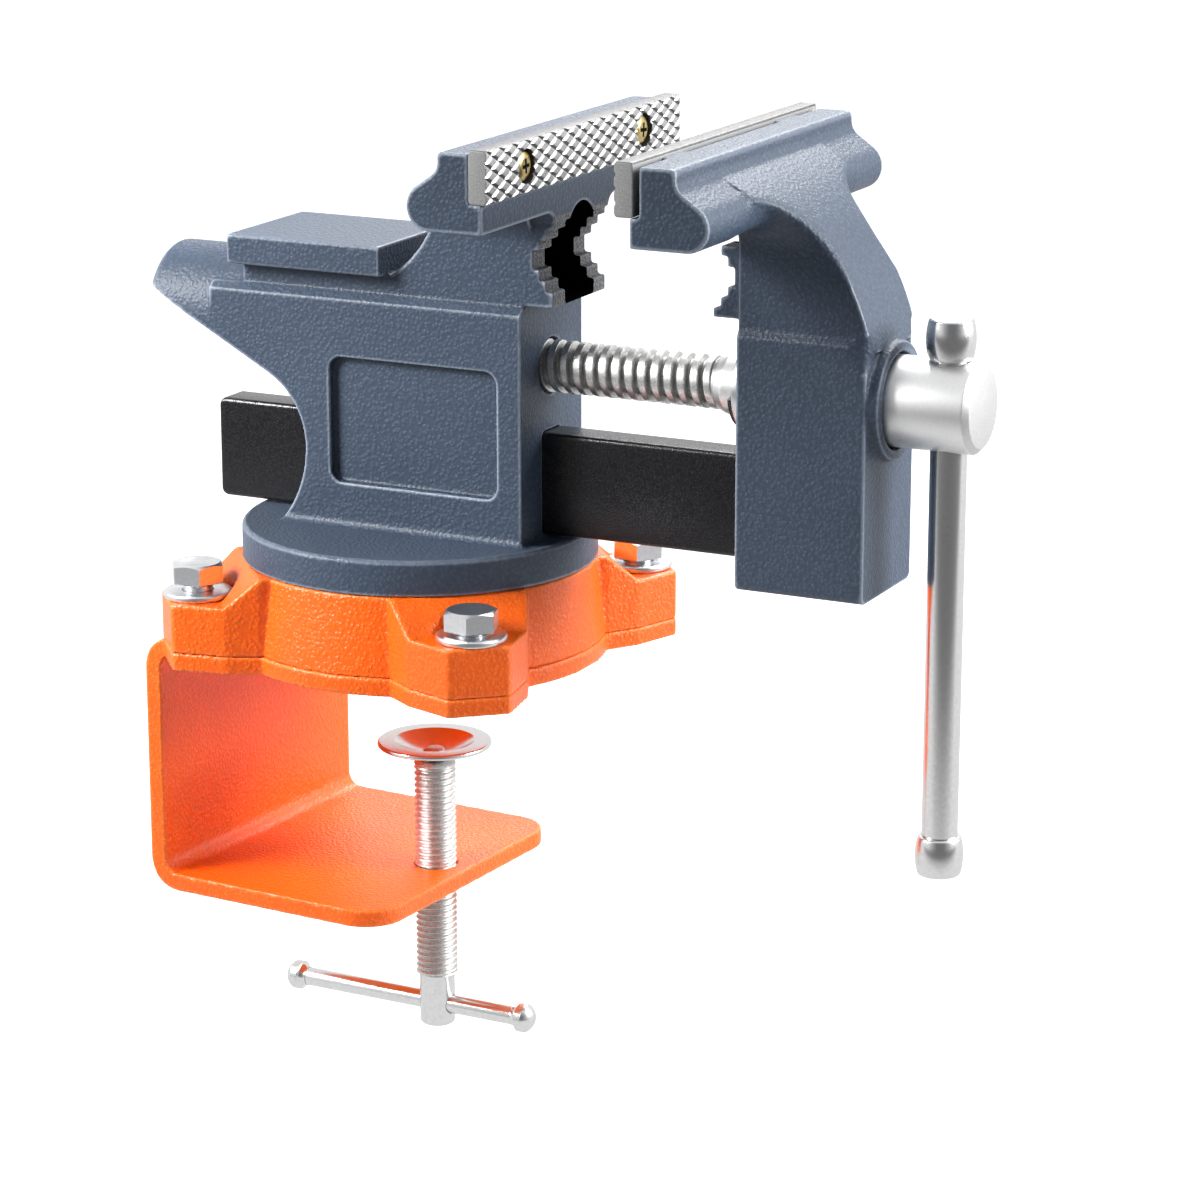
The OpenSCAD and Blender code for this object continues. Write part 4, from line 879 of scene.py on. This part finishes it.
# Hidden pieces keep their CAD shape
for node_name, material in (("main_nut", plain_steel), ("nut_pin", plain_steel),
                            ("bar_set_screws", black_paint), ("swivel_retainer", plain_steel),
                            ("swivel_centre_screw", zinc_plate)):
    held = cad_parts[node_name]
    held.data.materials.clear()
    held.data.materials.append(material)


# Floor, world, lamps and camera

def pale_floor():
    """White floor under the lowest reach of the clamp screw: it glows for the camera and in reflections, and
    still takes a soft shadow."""
    half, under = 6.0, -0.142
    corners = [(x, y, under) for x, y in ((-half, -half), (half, -half), (half, half), (-half, half))]
    mesh = bpy.data.meshes.new("floor")
    mesh.from_pydata(corners, [], [(0, 1, 2, 3)])
    floor = bpy.data.objects.new("floor", mesh)
    bpy.context.scene.collection.objects.link(floor)
    material, nodes, links, shader = new_finish("white_floor")
    nodes.remove(shader)
    path = node(nodes, "LightPath")
    away = node(nodes, "VectorMath", operation="LENGTH")
    links.new(node(nodes, "TexCoord").outputs["Object"], away.inputs[0])
    # The picture sees white everywhere; reflections see white behind the vise and a darker room in front
    picture = node(nodes, "MapRange", From_Min=0.35, From_Max=0.9, To_Min=0.74, To_Max=1.0)
    links.new(away.outputs["Value"], picture.inputs["Value"])
    in_front = node(nodes, "VectorMath", operation="DOT_PRODUCT")
    links.new(node(nodes, "TexCoord").outputs["Object"], in_front.inputs[0])
    in_front.inputs[1].default_value = (0.44, -0.9, 0)
    reflection = node(nodes, "MapRange", From_Min=0.17, From_Max=0.5, To_Min=0.95, To_Max=0.2)
    links.new(in_front.outputs["Value"], reflection.inputs["Value"])
    clear = node(nodes, "Math", operation="MAXIMUM")
    links.new(path.outputs["Is Camera Ray"], clear.inputs[0])
    links.new(path.outputs["Is Transmission Ray"], clear.inputs[1])
    glow = node(nodes, "Emission", Color=(1, 1, 1, 1))
    in_picture = node(nodes, "Math", operation="MULTIPLY")
    links.new(clear.outputs[0], in_picture.inputs[0])
    links.new(picture.outputs["Result"], in_picture.inputs[1])
    links.new(in_picture.outputs[0], glow.inputs["Strength"])
    matt = node(nodes, "BsdfDiffuse", Color=(0.5, 0.5, 0.5, 1))
    both = node(nodes, "AddShader")
    links.new(glow.outputs[0], both.inputs[0])
    links.new(matt.outputs[0], both.inputs[1])
    mirrored = node(nodes, "Emission", Color=(1, 1, 1, 1))
    links.new(reflection.outputs["Result"], mirrored.inputs["Strength"])
    choice = node(nodes, "MixShader")
    links.new(path.outputs["Is Glossy Ray"], choice.inputs[0])
    links.new(both.outputs[0], choice.inputs[1])
    links.new(mirrored.outputs[0], choice.inputs[2])
    links.new(choice.outputs[0], nodes["Material Output"].inputs["Surface"])
    mesh.materials.append(material)


def studio_world():
    """White for the camera; reflections see a white room that is darker behind the camera; level light for
    the rest."""
    world = bpy.data.worlds.new("studio")
    bpy.context.scene.world = world
    world.use_nodes = True
    nodes, links = world.node_tree.nodes, world.node_tree.links
    nodes.clear()
    path = node(nodes, "LightPath")
    facing = node(nodes, "VectorMath", operation="DOT_PRODUCT")
    links.new(node(nodes, "TexCoord").outputs["Generated"], facing.inputs[0])
    facing.inputs[1].default_value = (0.43, -0.88, 0.2)
    room = colour_ramp(nodes, links, facing.outputs["Value"],
                       [(0.5, (1, 1, 1)), (0.95, (0.2, 0.203, 0.21))])
    mirror = node(nodes, "Background")
    links.new(room, mirror.inputs["Color"])
    level = node(nodes, "Background", Color=(0.16, 0.16, 0.163, 1))
    white = node(nodes, "Background", Color=(1, 1, 1, 1))
    first, second = node(nodes, "MixShader"), node(nodes, "MixShader")
    links.new(path.outputs["Is Glossy Ray"], first.inputs[0])
    links.new(level.outputs[0], first.inputs[1])
    links.new(mirror.outputs[0], first.inputs[2])
    links.new(path.outputs["Is Camera Ray"], second.inputs[0])
    links.new(first.outputs[0], second.inputs[1])
    links.new(white.outputs[0], second.inputs[2])
    links.new(second.outputs[0], node(nodes, "OutputWorld").inputs["Surface"])


def soft_box(name, azimuth, height, power, size, away=1.0, target=(0.04, 0, 0.03), spread=180):
    """Square lamp at an azimuth (0 is in front, on the -Y side, and 90 on the +X side), and a height and a
    distance away from its target in metres; its spread in degrees narrows the beam."""
    lamp = bpy.data.lights.new(name, "AREA")
    lamp.energy, lamp.size, lamp.spread = power, size, math.radians(spread)
    o = bpy.data.objects.new(name, lamp)
    bpy.context.scene.collection.objects.link(o)
    a, target = math.radians(azimuth), Vector(target)
    o.location = target + Vector((away * math.sin(a), -away * math.cos(a), height))
    o.rotation_euler = (target - o.location).to_track_quat("-Z", "Y").to_euler()


def photo_camera():
    """Camera of the photograph: azimuth, elevation and distance from the point that it looks at."""
    azimuth, elevation, away = math.radians(26.152), math.radians(15.331), 1.04698
    target = Vector((0.05425, 0, 0.01911))
    lens = bpy.data.cameras.new("camera")
    lens.lens, lens.sensor_width, lens.clip_end = 117.77, 36, 20
    camera = bpy.data.objects.new("camera", lens)
    bpy.context.scene.collection.objects.link(camera)
    level = math.cos(elevation)
    camera.location = target + away * Vector((math.sin(azimuth) * level, -math.cos(azimuth) * level,
                                              math.sin(elevation)))
    camera.rotation_euler = (target - camera.location).to_track_quat("-Z", "Y").to_euler()
    bpy.context.scene.camera = camera


pale_floor()
studio_world()
soft_box("left_box", -45, 0.3, 0.85, 0.3, away=0.48, target=(-0.06, 0, 0.05), spread=45)
soft_box("right_box", 110, 0.45, 21.5, 0.7)
soft_box("top_box", 188, 0.85, 18, 0.6, away=0.75)
photo_camera()
bpy.context.scene.view_settings.view_transform = "Standard"
